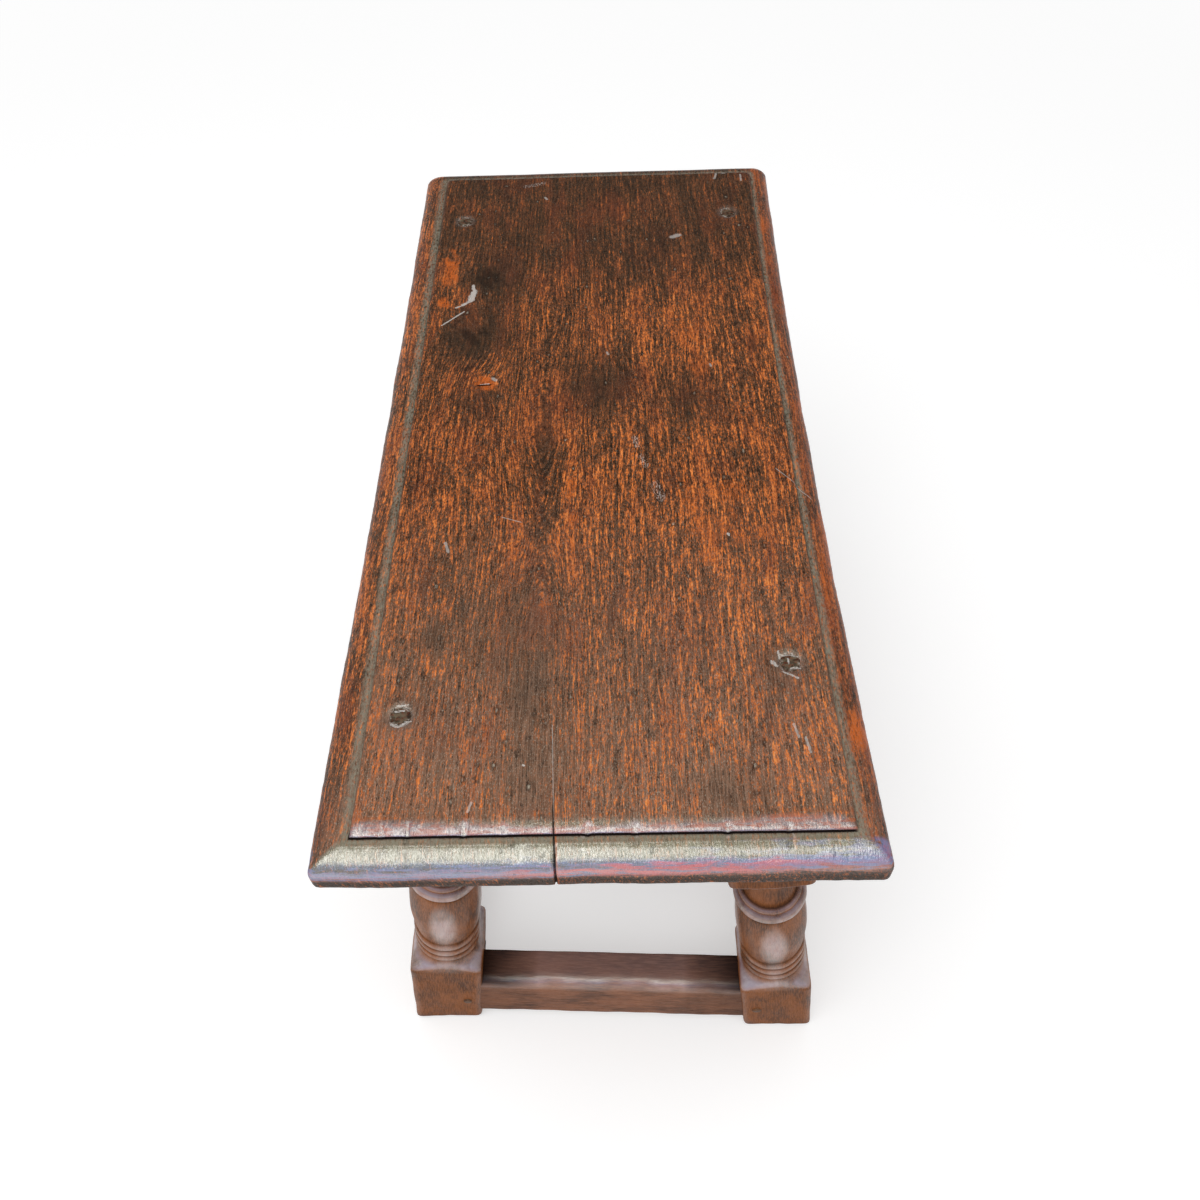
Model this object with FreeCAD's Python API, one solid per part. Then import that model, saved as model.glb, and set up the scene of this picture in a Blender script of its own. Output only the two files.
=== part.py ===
"""Low joined stool in oak: a moulded board top pegged to a frame of four turned legs,
four rails under the seat and four stretchers near the floor.

All lengths are millimetres and all angles are degrees. X runs across the stool, Y along
its length and Z up. The origin is on the floor under the middle of the seat. The legs lean
outwards across the stool, so that the feet stand wider than the seat, and the frame has
gone a little out of square in plan with age.
"""
import FreeCAD, Part
import os
from math import cos, sin, tan, radians, degrees, atan2
from FreeCAD import Vector

# Seat board
seat_length = 590.0
seat_width = 270.0
seat_thickness = 22.0
overall_height = 365.0
moulding_width = 17.0
step_drop = 1.8
hollow_width = 5.5
hollow_drop = 0.9
ovolo_drop = 11.0
edge_height = 4.5
corner_round_front = 4.0
corner_round_back = 9.0
ovolo_shoulder_share = 0.72
hollow_sag_share = 0.75
tuck_share = 0.5

# Stance of the frame under the seat
end_overhang = 40.0
side_overhang = 28.0
splay_angle = 6.5
rack_shift = 4.5

# Leg stock and its turned length
leg_stock = 49.0
square_above_stretcher = 19.0
square_below_rail = 13.0
mark_drift = 9.0
shoulder_corner_drop = 7.0
shoulder_rise = 9.0
shoulder_radius = 21.5
reed_count = 3
reed_height = 10.0
reed_crest_radius = 22.4
reed_valley_radius = 20.4
belly_radius = 23.2
belly_foot_radius = 21.0
belly_head_radius = 19.6
ring_height = 8.5
ring_radius = 22.6
fillet_height = 3.0
fillet_radius = 19.4
neck_radius = 14.6
neck_foot_radius = 16.8
neck_head_radius = 19.0
upper_shoulder_height = 7.0
upper_corner_drop = 5.0
shoulder_hollow_share = 0.22
upper_hollow_share = 0.30
belly_share = 0.62
belly_crest_share = 0.46
neck_waist_share = 0.42

# Rails under the seat
rail_depth = 68.0
rail_thickness = 26.0
rail_setback = 2.0
bead_width = 7.0
quirk_width = 2.0
quirk_depth = 1.6

# Stretchers near the floor
stretcher_height = 58.0
stretcher_thickness = 25.0
stretcher_clearance = 14.0
stretcher_setback = 2.0
stretcher_wear = 3.0

# Tenons and the mortises that take them
tenon_thickness = 9.0
tenon_cheek = 12.5
side_tenon_length = 22.0
end_tenon_length = 31.0
rail_haunch = 12.0
rail_tenon_shoulder = 8.0
stretcher_tenon_shoulder = 7.0
mortise_bottom_gap = 1.5

# Pegs: small ones lock the tenons, large ones hold the seat down
peg_sides = 8
peg_radius = 3.5
peg_tip_radius = 3.0
peg_proud = 0.8
peg_inset = 10.5
peg_stagger = 10.0
rail_peg_count = 2
rail_peg_drop = 30.0
rail_peg_spacing = 20.0
seat_peg_radius = 5.5
seat_peg_tip_radius = 5.0
seat_peg_sink = 0.3
seat_peg_depth = 27.0
seat_peg_edge = 37.0
seat_peg_front_left = 81.0
seat_peg_front_right = 109.0
seat_peg_back_left = 76.0
seat_peg_back_right = 73.0

# Overrun of every cutting shape past the wood it cuts, and one turn of the lathe
overrun = 5.0
full_turn = 360.0

# Sizes that follow
underside = overall_height - seat_thickness
half_stock = leg_stock / 2
lean = radians(splay_angle)
slant = 1 / cos(lean)
leg_top_axis = seat_width / 2 - side_overhang - half_stock * slant
foot_axis = leg_top_axis + underside * tan(lean)
leg_station = seat_length / 2 - end_overhang - half_stock
stretcher_top = stretcher_clearance + stretcher_height
rail_foot = underside - rail_depth
lower_mark = (stretcher_top + square_above_stretcher) * slant
upper_mark = (rail_foot - square_below_rail) * slant

corners = {
    "front_left": (-1, -1, mark_drift),
    "front_right": (1, -1, -mark_drift),
    "back_left": (-1, 1, 0),
    "back_right": (1, 1, 0),
}
sides = {"left": -1, "right": 1}
ends = {"front": -1, "back": 1}


def face_from(points_and_arcs):
    """Closed face through a list of points. A pair (middle, end) is an arc to end."""
    edges = []
    here = points_and_arcs[0]
    for step in points_and_arcs[1:] + [points_and_arcs[0]]:
        if isinstance(step, tuple):
            edges.append(Part.Arc(here, step[0], step[1]).toShape())
            here = step[1]
        else:
            edges.append(Part.LineSegment(here, step).toShape())
            here = step
    return Part.Face(Part.Wire(edges))


def box(x0, x1, y0, y1, z0, z1):
    """Box between two opposite corners."""
    return Part.makeBox(x1 - x0, y1 - y0, z1 - z0, Vector(x0, y0, z0))


def lean_side(shape, side):
    """Leans a shape drawn upright about its side's foot line, and slides it out of square."""
    shape.rotate(Vector(0, 0, 0), Vector(0, 1, 0), -side * splay_angle)
    shape.translate(Vector(side * foot_axis, -side * rack_shift, 0))
    return shape


def turn_end(shape, end, outer, height):
    """Turns a shape drawn square across one end, so that it meets both legs of the skewed frame."""
    leg_axis = foot_axis - height * tan(lean)
    shape.rotate(Vector(0, end * outer, 0), Vector(0, 0, 1), -degrees(atan2(rack_shift, leg_axis)))
    return shape


def below_seat():
    """Everything between the floor and the underside of the seat."""
    return box(-seat_width, seat_width, -seat_length, seat_length, 0, underside)


def turned_outline(drift):
    """Lathe outline of a leg, as points and arcs of (radius, height along the leg)."""
    full = leg_stock
    foot = lower_mark + drift
    head = upper_mark + drift
    reeds = foot + shoulder_rise
    belly = reeds + reed_count * reed_height
    spare = head - upper_shoulder_height - belly - ring_height - fillet_height
    ring = belly + spare * belly_share
    fillet = ring + ring_height
    neck = fillet + fillet_height
    neck_top = head - upper_shoulder_height
    crest = belly + (ring - belly) * belly_crest_share
    waist = neck + (neck_top - neck) * neck_waist_share

    def at(radius, height):
        return Vector(radius, 0, height)

    def hollow(r0, z0, r1, z1, depth_share):
        """Middle point of an arc between two points, drawn in towards the axis."""
        return at(min(r0, r1) + abs(r1 - r0) * depth_share, (z0 + z1) / 2)

    outline = [at(0, -leg_stock), at(full, -leg_stock), at(full, foot - shoulder_corner_drop)]
    shoulder_middle = hollow(full, foot - shoulder_corner_drop, shoulder_radius, reeds, shoulder_hollow_share)
    outline.append((shoulder_middle, at(shoulder_radius, reeds)))
    outline.append(at(reed_valley_radius, reeds))
    for index in range(reed_count):
        low = reeds + index * reed_height
        crest_point = at(reed_crest_radius, low + reed_height / 2)
        outline.append((crest_point, at(reed_valley_radius, low + reed_height)))
    outline.append(at(belly_foot_radius, belly))
    outline.append((at(belly_radius, crest), at(belly_head_radius, ring)))
    outline.append((at(ring_radius, ring + ring_height / 2), at(belly_head_radius, fillet)))
    outline.append(at(fillet_radius, fillet))
    outline.append(at(fillet_radius, neck))
    outline.append(at(neck_foot_radius, neck))
    outline.append((at(neck_radius, waist), at(neck_head_radius, neck_top)))
    upper_middle = hollow(neck_head_radius, neck_top, full, head + upper_corner_drop, upper_hollow_share)
    outline.append((upper_middle, at(full, head + upper_corner_drop)))
    outline.append(at(full, underside + leg_stock))
    outline.append(at(0, underside + leg_stock))
    return outline


def leg_blank(side, end, drift):
    """Leg before its joints are cut: square stock turned between two square blocks."""
    stock = box(-half_stock, half_stock, -half_stock, half_stock, -leg_stock, underside + leg_stock)
    turning = face_from(turned_outline(drift)).revolve(Vector(0, 0, 0), Vector(0, 0, 1), full_turn)
    leg = stock.common(turning)
    leg.translate(Vector(0, end * leg_station, 0))
    return lean_side(leg, side).common(below_seat())


def side_member(side, low, high, thickness, setback, shoulder_low, shoulder_high, rise=0):
    """Board along one side, between the legs, with its two tenons, and its mortise shape.
    A rise leaves the board that much taller, to be cut level under the seat."""
    outer = half_stock - setback
    inner = outer - thickness
    cheek = outer - tenon_cheek
    reach = leg_station - half_stock
    w0 = low * slant
    w1 = high * slant

    def placed(u0, u1, length, z0, z1):
        across = sorted((side * u0, side * u1))
        return lean_side(box(across[0], across[1], -length, length, z0, z1), side)

    board = placed(inner, outer, reach, w0, w1 + rise)
    tenon_low = w0 + shoulder_low
    tenon_high = w1 - shoulder_high
    tenon = placed(cheek - tenon_thickness, cheek, reach + side_tenon_length, tenon_low, tenon_high)
    deep = reach + side_tenon_length + mortise_bottom_gap
    mortise = placed(cheek - tenon_thickness, cheek, deep, tenon_low, tenon_high)
    return board.fuse(tenon).removeSplitter(), mortise


def inner_face(height):
    """Distance from the middle of the stool to a leg's inner face at a height."""
    return foot_axis - height * tan(lean) - half_stock * slant


def between_legs(low, high, reach):
    """Wedge between the leaning inner faces of the legs, lengthened into them by reach."""
    points = [
        Vector(-inner_face(low) - reach, -seat_length, low),
        Vector(inner_face(low) + reach, -seat_length, low),
        Vector(inner_face(high) + reach, -seat_length, high),
        Vector(-inner_face(high) - reach, -seat_length, high),
    ]
    return face_from(points).extrude(Vector(0, 2 * seat_length, 0))


def end_member(end, low, high, thickness, setback, shoulder_low, shoulder_high):
    """Level board across one end, between the legs, with its tenons, and its mortise shape."""
    outer = leg_station + half_stock - setback

    def placed(y0, y1, z0, z1, reach):
        run = sorted((end * y0, end * y1))
        bar = box(-seat_width, seat_width, run[0], run[1], z0, z1)
        return turn_end(bar, end, outer, (low + high) / 2).common(between_legs(z0, z1, reach))

    board = placed(outer - thickness, outer, low, high, 0)
    cheek = outer - tenon_cheek
    tenon_low = low + shoulder_low
    tenon_high = high - shoulder_high
    tenon = placed(cheek - tenon_thickness, cheek, tenon_low, tenon_high, end_tenon_length)
    deep = end_tenon_length + mortise_bottom_gap
    mortise = placed(cheek - tenon_thickness, cheek, tenon_low, tenon_high, deep)
    return board.fuse(tenon).removeSplitter(), mortise


def end_quirk(end):
    """Groove that leaves a run bead along the lower outer edge of an end rail."""
    outer = leg_station + half_stock - rail_setback
    run = sorted((end * (outer - quirk_depth), end * (outer + overrun)))
    low = rail_foot + bead_width
    groove = box(-seat_width, seat_width, run[0], run[1], low, low + quirk_width)
    return turn_end(groove, end, outer, (rail_foot + underside) / 2)


def side_quirk(side):
    """Groove that leaves a run bead along the lower outer edge of a side rail."""
    outer = half_stock - rail_setback
    run = sorted((side * (outer - quirk_depth), side * (outer + overrun)))
    low = (rail_foot + bead_width) * slant
    return lean_side(box(run[0], run[1], -seat_length, seat_length, low, low + quirk_width), side)


def worn_edge(end):
    """Wedge rubbed off the upper outer edge of an end stretcher, where feet have rested."""
    outer = leg_station + half_stock - stretcher_setback
    points = [
        Vector(-seat_width, end * (outer - stretcher_wear), stretcher_top),
        Vector(-seat_width, end * (outer + overrun), stretcher_top),
        Vector(-seat_width, end * (outer + overrun), stretcher_top - stretcher_wear - overrun),
    ]
    wear = face_from(points).extrude(Vector(2 * seat_width, 0, 0))
    return turn_end(wear, end, outer, (stretcher_clearance + stretcher_top) / 2)


def riven_peg(radius, tip_radius, length, start, direction):
    """Peg split from straight oak and shaved to a many-sided taper, from its head at start to its tip.
    The radii reach to its corners, which bite into the wood."""
    def outline(reach, height):
        turns = [radians(full_turn * (index + 1 / 2) / peg_sides) for index in range(peg_sides)]
        return [Vector(reach * cos(turn), reach * sin(turn), height) for turn in turns]

    head = outline(radius, 0)
    tip = outline(tip_radius, length)
    flats = [head, tip]
    for index in range(peg_sides):
        flats.append([head[index - 1], head[index], tip[index], tip[index - 1]])
    faces = [Part.Face(Part.makePolygon(flat + flat[:1])) for flat in flats]
    peg = Part.Solid(Part.Shell(faces))
    if peg.Volume < 0:
        peg.reverse()
    peg.Placement = FreeCAD.Placement(start, FreeCAD.Rotation(Vector(0, 0, 1), direction))
    return peg


def end_pegs(side, end, heights):
    """Pegs driven along the stool, through a leg and an end member's tenon."""
    pegs = []
    length = leg_stock + peg_proud
    face = end * (leg_station + half_stock) - side * rack_shift
    for height in heights:
        across = side * (inner_face(height) + peg_inset)
        start = Vector(across, face + end * peg_proud, height)
        pegs.append(riven_peg(peg_radius, peg_tip_radius, length, start, Vector(0, -end, 0)))
    return pegs


def side_pegs(side, end, heights):
    """Pegs driven across the stool, square to a leg's leaning face, through a side tenon."""
    pegs = []
    length = leg_stock + peg_proud
    station = end * (leg_station - half_stock + peg_inset)
    for height in heights:
        start = Vector(side * (half_stock + peg_proud), station, height * slant)
        peg = riven_peg(peg_radius, peg_tip_radius, length, start, Vector(-side, 0, 0))
        pegs.append(lean_side(peg, side))
    return pegs


def seat_peg(side, end, from_end):
    """Upright peg through the seat into the frame below it."""
    top = overall_height - seat_peg_sink
    start = Vector(side * (seat_width / 2 - seat_peg_edge), end * (seat_length / 2 - from_end), top)
    length = top - underside + seat_peg_depth
    return riven_peg(seat_peg_radius, seat_peg_tip_radius, length, start, Vector(0, 0, -1))


def seat_section(half, at):
    """Moulded section of the seat board, from edge to edge: step, hollow and ovolo."""
    top = overall_height
    step = half - moulding_width
    hollow_end = step + hollow_width
    hollow_z = top - step_drop - hollow_drop
    crown_z = hollow_z - ovolo_drop
    lower_z = crown_z - edge_height
    slope = hollow_end + (half - hollow_end) * ovolo_shoulder_share
    shoulder_z = hollow_z - ovolo_drop * (1 - ovolo_shoulder_share)
    hollow_middle = (step + hollow_end) / 2
    hollow_low = top - step_drop - hollow_drop * hollow_sag_share
    tuck = edge_height * tuck_share
    points = [at(-step, top), at(step, top), at(step, top - step_drop)]
    points.append((at(hollow_middle, hollow_low), at(hollow_end, hollow_z)))
    points.append((at(slope, shoulder_z), at(half, crown_z)))
    points += [at(half, lower_z), at(half - tuck, underside), at(-half + tuck, underside), at(-half, lower_z)]
    points.append(at(-half, crown_z))
    points.append((at(-slope, shoulder_z), at(-hollow_end, hollow_z)))
    points.append((at(-hollow_middle, hollow_low), at(-step, top - step_drop)))
    return face_from(points)


def seat_blank():
    """Seat board before the pegs are bored: the moulding runs along all four edges."""
    across = seat_section(seat_width / 2, lambda u, z: Vector(u, -seat_length / 2, z))
    along = seat_section(seat_length / 2, lambda u, z: Vector(-seat_width / 2, u, z))
    board = across.extrude(Vector(0, seat_length, 0)).common(along.extrude(Vector(seat_width, 0, 0)))
    half_x = seat_width / 2
    half_y = seat_length / 2
    plan = box(-half_x, half_x, -half_y, half_y, underside - overrun, overall_height + overrun)
    for end, radius in ((-1, corner_round_front), (1, corner_round_back)):
        upright = [edge for edge in plan.Edges
                   if abs(edge.BoundBox.ZLength) > seat_thickness
                   and edge.CenterOfMass.y * end > 0]
        plan = plan.makeFillet(radius, upright)
    return board.common(plan)


def bored(wood, pegs):
    """The wood with a hole for each peg that passes through it."""
    for peg in pegs:
        if wood.BoundBox.intersect(peg.BoundBox):
            wood = wood.cut(peg)
    return wood


# Pegs first, because every other piece is bored for them
end_rail_heights = [underside - rail_peg_drop - index * rail_peg_spacing for index in range(rail_peg_count)]
side_rail_heights = [height - peg_stagger for height in end_rail_heights]
stretcher_middle = stretcher_clearance + stretcher_height / 2
end_stretcher_heights = [stretcher_middle - peg_stagger / 2]
side_stretcher_heights = [stretcher_middle + peg_stagger / 2]
seat_peg_from_end = {
    "front_left": seat_peg_front_left,
    "front_right": seat_peg_front_right,
    "back_left": seat_peg_back_left,
    "back_right": seat_peg_back_right,
}

nodes = {}
pegs = []
for name, (side, end, _) in corners.items():
    rail_group = end_pegs(side, end, end_rail_heights) + side_pegs(side, end, side_rail_heights)
    foot_group = end_pegs(side, end, end_stretcher_heights) + side_pegs(side, end, side_stretcher_heights)
    top_peg = seat_peg(side, end, seat_peg_from_end[name])
    nodes["rail_pegs_" + name] = Part.makeCompound(rail_group)
    nodes["stretcher_pegs_" + name] = Part.makeCompound(foot_group)
    nodes["seat_peg_" + name] = top_peg
    pegs += rail_group + foot_group + [top_peg]

# Rails and stretchers with their tenons
mortises = []
for name, side in sides.items():
    rail, mortise = side_member(side, rail_foot, underside, rail_thickness, rail_setback,
                                rail_tenon_shoulder, rail_haunch, overrun)
    rail = rail.cut(side_quirk(side)).common(below_seat())
    nodes["side_rail_" + name] = bored(rail, pegs)
    mortises.append(mortise)
    bar, mortise = side_member(side, stretcher_clearance, stretcher_top, stretcher_thickness,
                               stretcher_setback, stretcher_tenon_shoulder, stretcher_tenon_shoulder)
    nodes["side_stretcher_" + name] = bored(bar, pegs)
    mortises.append(mortise)
for name, end in ends.items():
    rail, mortise = end_member(end, rail_foot, underside, rail_thickness, rail_setback,
                               rail_tenon_shoulder, rail_haunch)
    nodes["end_rail_" + name] = bored(rail.cut(end_quirk(end)), pegs)
    mortises.append(mortise)
    bar, mortise = end_member(end, stretcher_clearance, stretcher_top, stretcher_thickness,
                              stretcher_setback, stretcher_tenon_shoulder, stretcher_tenon_shoulder)
    nodes["end_stretcher_" + name] = bored(bar.cut(worn_edge(end)), pegs)
    mortises.append(mortise)

# Legs, mortised for the tenons and bored for the pegs
for name, (side, end, drift) in corners.items():
    leg = leg_blank(side, end, drift)
    for mortise in mortises:
        if leg.BoundBox.intersect(mortise.BoundBox):
            leg = leg.cut(mortise)
    nodes["leg_" + name] = bored(leg, pegs)

# Seat board
nodes["seat_board"] = bored(seat_blank(), pegs)

os.makedirs("parts", exist_ok=True)
for name, shape in nodes.items():
    if not shape.isValid():
        print("not valid:", name)
    shape.exportStep(os.path.join("parts", name + ".step"))
    print(name, "solids", len(shape.Solids), "volume", round(shape.Volume / 1000, 2), "cm3")
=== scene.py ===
# %% [markdown]
# # A low joined stool in dark oak
# The stool is one moulded board, pegged down on four turned legs, four rails and four stretchers.
# Centuries of wax, feet and floors have rounded every arris, and that wear is what this lesson models:
# each piece of the frame gets a worn skin of its own, worked out with numpy as a grid of points.
# Lengths below are millimetres, and are turned into metres when a mesh is made.

import bpy
import numpy as np
from mathutils import Matrix, Vector


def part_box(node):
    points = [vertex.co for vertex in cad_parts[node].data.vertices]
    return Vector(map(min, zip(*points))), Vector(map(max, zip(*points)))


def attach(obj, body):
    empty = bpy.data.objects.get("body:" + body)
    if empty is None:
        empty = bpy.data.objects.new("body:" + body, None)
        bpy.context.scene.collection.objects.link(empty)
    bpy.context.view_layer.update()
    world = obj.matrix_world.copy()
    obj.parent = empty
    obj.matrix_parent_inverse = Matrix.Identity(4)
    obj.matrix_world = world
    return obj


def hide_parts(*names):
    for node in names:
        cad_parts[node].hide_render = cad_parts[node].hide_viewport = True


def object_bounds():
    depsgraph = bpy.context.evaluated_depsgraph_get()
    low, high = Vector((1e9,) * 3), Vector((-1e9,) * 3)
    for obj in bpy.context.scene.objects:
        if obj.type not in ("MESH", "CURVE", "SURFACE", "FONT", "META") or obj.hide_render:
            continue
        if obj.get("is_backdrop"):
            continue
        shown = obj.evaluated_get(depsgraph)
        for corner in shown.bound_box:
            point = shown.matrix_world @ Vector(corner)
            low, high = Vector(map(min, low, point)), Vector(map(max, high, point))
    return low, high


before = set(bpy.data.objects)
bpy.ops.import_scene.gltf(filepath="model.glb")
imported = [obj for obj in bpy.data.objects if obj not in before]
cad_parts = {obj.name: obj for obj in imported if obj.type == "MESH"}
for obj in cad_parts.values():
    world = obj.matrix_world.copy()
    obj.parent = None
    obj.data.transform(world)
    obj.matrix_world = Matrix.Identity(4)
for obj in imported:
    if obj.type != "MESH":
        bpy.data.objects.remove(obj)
cad_low, cad_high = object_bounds()
mm = 0.001
turn = 2 * np.pi
overall_height = cad_high.z / mm
print("pieces in the frame:", len(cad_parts), "height", round(overall_height, 1))

# %% [markdown]
# ## The camera
# The picture was taken by someone standing at one end of the stool and looking down on it. The camera
# could be placed by eye, but its place and turn were worked out from the edges of the seat, so every
# mark seen in the picture can be carried back onto the board by its pixel, with `on_seat`.

# %% Camera
picture_size = 1200
focal_pixels = 1058.154
sensor_width = 36.0
camera_place = np.array([11.997, -492.898, 809.978])
camera_yaw, camera_pitch, camera_roll = np.radians([-1.748, 51.873, 2.536])


def camera_axes():
    """Right, down and forward directions of the camera: a heading turned by yaw and tipped down by
    pitch gives forward, and a level right hand is then rolled about it."""
    forward = np.array([np.sin(camera_yaw) * np.cos(camera_pitch),
                        np.cos(camera_yaw) * np.cos(camera_pitch), -np.sin(camera_pitch)])
    level = np.array([np.cos(camera_yaw), -np.sin(camera_yaw), 0])
    below = np.cross(forward, level)
    right = np.cos(camera_roll) * level + np.sin(camera_roll) * below
    down = np.cos(camera_roll) * below - np.sin(camera_roll) * level
    return right, down, forward


def on_seat(pixel, height=overall_height):
    """Point of the board under a pixel (x, y) of the picture: the pixel's ray cut at a height."""
    right, down, forward = camera_axes()
    middle = picture_size / 2
    ray = forward + right * (pixel[0] - middle) / focal_pixels + down * (pixel[1] - middle) / focal_pixels
    return (camera_place + ray * (height - camera_place[2]) / ray[2])[:2]


camera_data = bpy.data.cameras.new("camera")
camera_data.sensor_width = sensor_width
camera_data.lens = sensor_width * focal_pixels / picture_size
camera = bpy.data.objects.new("camera", camera_data)
bpy.context.collection.objects.link(camera)
right, down, forward = camera_axes()
camera_turn = Matrix((right, -down, -forward)).transposed().to_4x4()
camera.matrix_world = Matrix.Translation(camera_place * mm) @ camera_turn
bpy.context.scene.camera = camera
print("lens", round(camera_data.lens, 2), "mm, middle of the picture at", np.round(on_seat((600, 600)), 1))

# %% [markdown]
# ## Shader values that can be added up
# Wood needs many small sums: grain plus knots minus dirt. Linking Math nodes by hand hides the sum, so
# one small class wraps a socket and lets Python's own signs add the nodes. Colours and vectors go
# through one method, `node`, that makes any other node: settings first, then values or links.

# %% A value in a shader
class Reading:
    """One output of a shader node, on which arithmetic adds Math nodes to the same tree."""

    def __init__(self, tree, socket=None):
        self.tree = tree
        self.socket = socket

    def node(self, kind, settings, inputs, output=0):
        """Adds a node: its settings are set first, then its sockets' values or links."""
        made = self.tree.nodes.new("ShaderNode" + kind)
        for name, value in settings.items():
            if name == "stops":
                lay_stops(made.color_ramp, value)
            else:
                setattr(made, name, value)
        for name, value in inputs.items():
            if isinstance(value, Reading):
                self.tree.links.new(value.socket, made.inputs[name])
            else:
                made.inputs[name].default_value = value
        return Reading(self.tree, made.outputs[output])

    def math(self, operation, first, second=0.0):
        """A Math node on one or two values."""
        return self.node("Math", {"operation": operation}, {0: first, 1: second})

    def __add__(self, other):
        return self.math("ADD", self, other)

    def __sub__(self, other):
        return self.math("SUBTRACT", self, other)

    def __rsub__(self, other):
        return self.math("SUBTRACT", other, self)

    def __mul__(self, other):
        return self.math("MULTIPLY", self, other)

    def __truediv__(self, other):
        return self.math("DIVIDE", self, other)

    def __pow__(self, other):
        return self.math("POWER", self, other)

    __radd__ = __add__
    __rmul__ = __mul__

    def attribute(self, name):
        """The vector that a piece's mesh holds under a name."""
        return self.node("Attribute", {"attribute_type": "GEOMETRY", "attribute_name": name}, {}, "Vector")

    def also(self, output):
        """Another output of the node that gave this reading."""
        return Reading(self.tree, self.socket.node.outputs[output])

    def parts(self):
        """The three numbers of a vector."""
        split = self.node("SeparateXYZ", {}, {"Vector": self})
        return [split.also(axis) for axis in "XYZ"]

    def highest(self, other):
        """The larger of two readings."""
        return self.math("MAXIMUM", self, other)

    def bell(self):
        """Bell curve of a distance: 1 at none, by e to the minus of its square."""
        return self.math("EXPONENT", 0.0 - self * self)

    def joined(self, x, y, z):
        """A vector made of three readings."""
        return self.node("CombineXYZ", {}, {"X": x, "Y": y, "Z": z})

    def scaled(self, x, y, z):
        """A vector stretched by a number for each axis."""
        return self.node("VectorMath", {"operation": "MULTIPLY"}, {0: self, 1: (x, y, z)})

    def noise(self, detail=2.0, roughness=0.5, distortion=0.0):
        """Smooth noise around 0.5 of a vector whose unit is one blotch."""
        return self.node("TexNoise", {}, {"Vector": self, "Scale": 1.0, "Detail": detail,
                                          "Roughness": roughness, "Distortion": distortion}, "Fac")

    def between(self, low, high):
        """Smooth step from 0 at low to 1 at high."""
        return self.node("MapRange", {"interpolation_type": "SMOOTHSTEP"},
                         {"Value": self, "From Min": low, "From Max": high})

    def over(self, under, paint):
        """A colour painted over another, by this mask."""
        return self.node("Mix", {"data_type": "RGBA"}, {0: self, 6: under, 7: paint}, 2)


def lay_stops(ramp, stops):
    """Sets a ramp's stops from (place, colour) pairs."""
    while len(ramp.elements) < len(stops):
        ramp.elements.new(1.0)
    for element, (place, colour) in zip(ramp.elements, stops):
        element.position = place
        element.color = colour


def pigment(red, green, blue):
    """Colour for a shader from screen values of 0 to 255, by the screen's own curve."""
    screen = np.array([red, green, blue]) / 255
    linear = np.where(screen < 0.04, screen / 12.92, ((screen + 0.055) / 1.055) ** 2.4)
    return (*linear.tolist(), 1.0)


print("dark oak in a shader's numbers:", np.round(pigment(78, 51, 33), 3))

# %% [markdown]
# ## Skins over rings
# A leg, a rail, a peg and the seat's rim are all rings of points, one after another, with quads between
# neighbours. Every point carries more than its place: where it lies in the wood it was cut from, so that
# grain runs along each piece, and how dirty, polished or bare it is; on the seat's border the bare column
# holds dust and painted sheen instead. So a ring is an array of columns: three for the place, three for
# the wood, three for the finish and three for the tone. On the seat the tone says how much a point glows,
# how sooty it is, with a painted shade line added in, and how much painted grey sheen it has. On the frame
# it says how much painted gold highlight it has and, in its last column, how much painted bluish sheen.

# %% Rings, skins and pieces
place, stock, finish, tone = slice(0, 3), slice(3, 6), slice(6, 9), slice(9, 12)


def bands(index):
    """Quads between neighbouring rings, given as rows of point numbers that close on themselves."""
    turned = np.roll(index, -1, axis=1)
    return np.stack([index[:-1], turned[:-1], turned[1:], index[1:]], -1).reshape(-1, 4).tolist()


def fan(ring, middle):
    """Triangles from each pair of neighbours on a ring to one middle point."""
    return np.stack([ring, np.roll(ring, -1), np.full(len(ring), middle)], -1).tolist()


def skin(rings):
    """Closed skin over rings x around x columns: bands, and a fan to the middle of each end ring."""
    count, around, columns = rings.shape
    index = np.arange(count * around).reshape(count, around)
    points = np.concatenate([rings.reshape(-1, columns), rings[:1].mean(1), rings[-1:].mean(1)])
    faces = bands(index) + fan(index[0][::-1], count * around) + fan(index[-1], count * around + 1)
    return points, faces


def enclosed(points, faces):
    """Volume inside a closed skin: a sixth of the triple product of every triangle, added up."""
    second_halves = [[face[0], *face[2:]] for face in faces if len(face) > 3]
    corners = np.array([face[:3] for face in faces] + second_halves)
    a, b, c = (points[corners[:, k]] for k in range(3))
    return float(np.einsum("ij,ij->i", a, np.cross(b, c)).sum() / 6)


def make_piece(name, points, faces, material, slot, *nodes):
    """A piece of the stool from points (columns as above) and faces, turned to face outwards."""
    if enclosed(points[:, place], faces) < 0:
        faces = [face[::-1] for face in faces]
    mesh = bpy.data.meshes.new(name)
    mesh.from_pydata((points[:, place] * mm).tolist(), [], faces)
    mesh.polygons.foreach_set("use_smooth", np.ones(len(mesh.polygons), bool))
    for label, columns in (("stock", stock), ("finish", finish), ("tone", tone)):
        values = mesh.attributes.new(label, "FLOAT_VECTOR", "POINT")
        values.data.foreach_set("vector", points[:, columns].ravel())
    mesh.materials.append(material)
    piece = bpy.data.objects.new(name, mesh)
    bpy.context.collection.objects.link(piece)
    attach(piece, "root")
    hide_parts(*nodes)
    print(name, "faces", len(faces), "volume", round(enclosed(points[:, place], faces) / 1000), "cm3")
    return piece


def columns_of(xyz, wood, dirt=0.0, polish=0.0, bare=0.0, glow=0.0, soot=0.0, painted_sheen=0.0):
    """Places, wood, finish and tone put together as one array of columns."""
    rest = np.stack(np.broadcast_arrays(xyz[..., 0], dirt, polish, bare, glow, soot, painted_sheen), -1)[..., 1:]
    return np.concatenate([xyz, wood, rest], -1)


wave_count = 8


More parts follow.
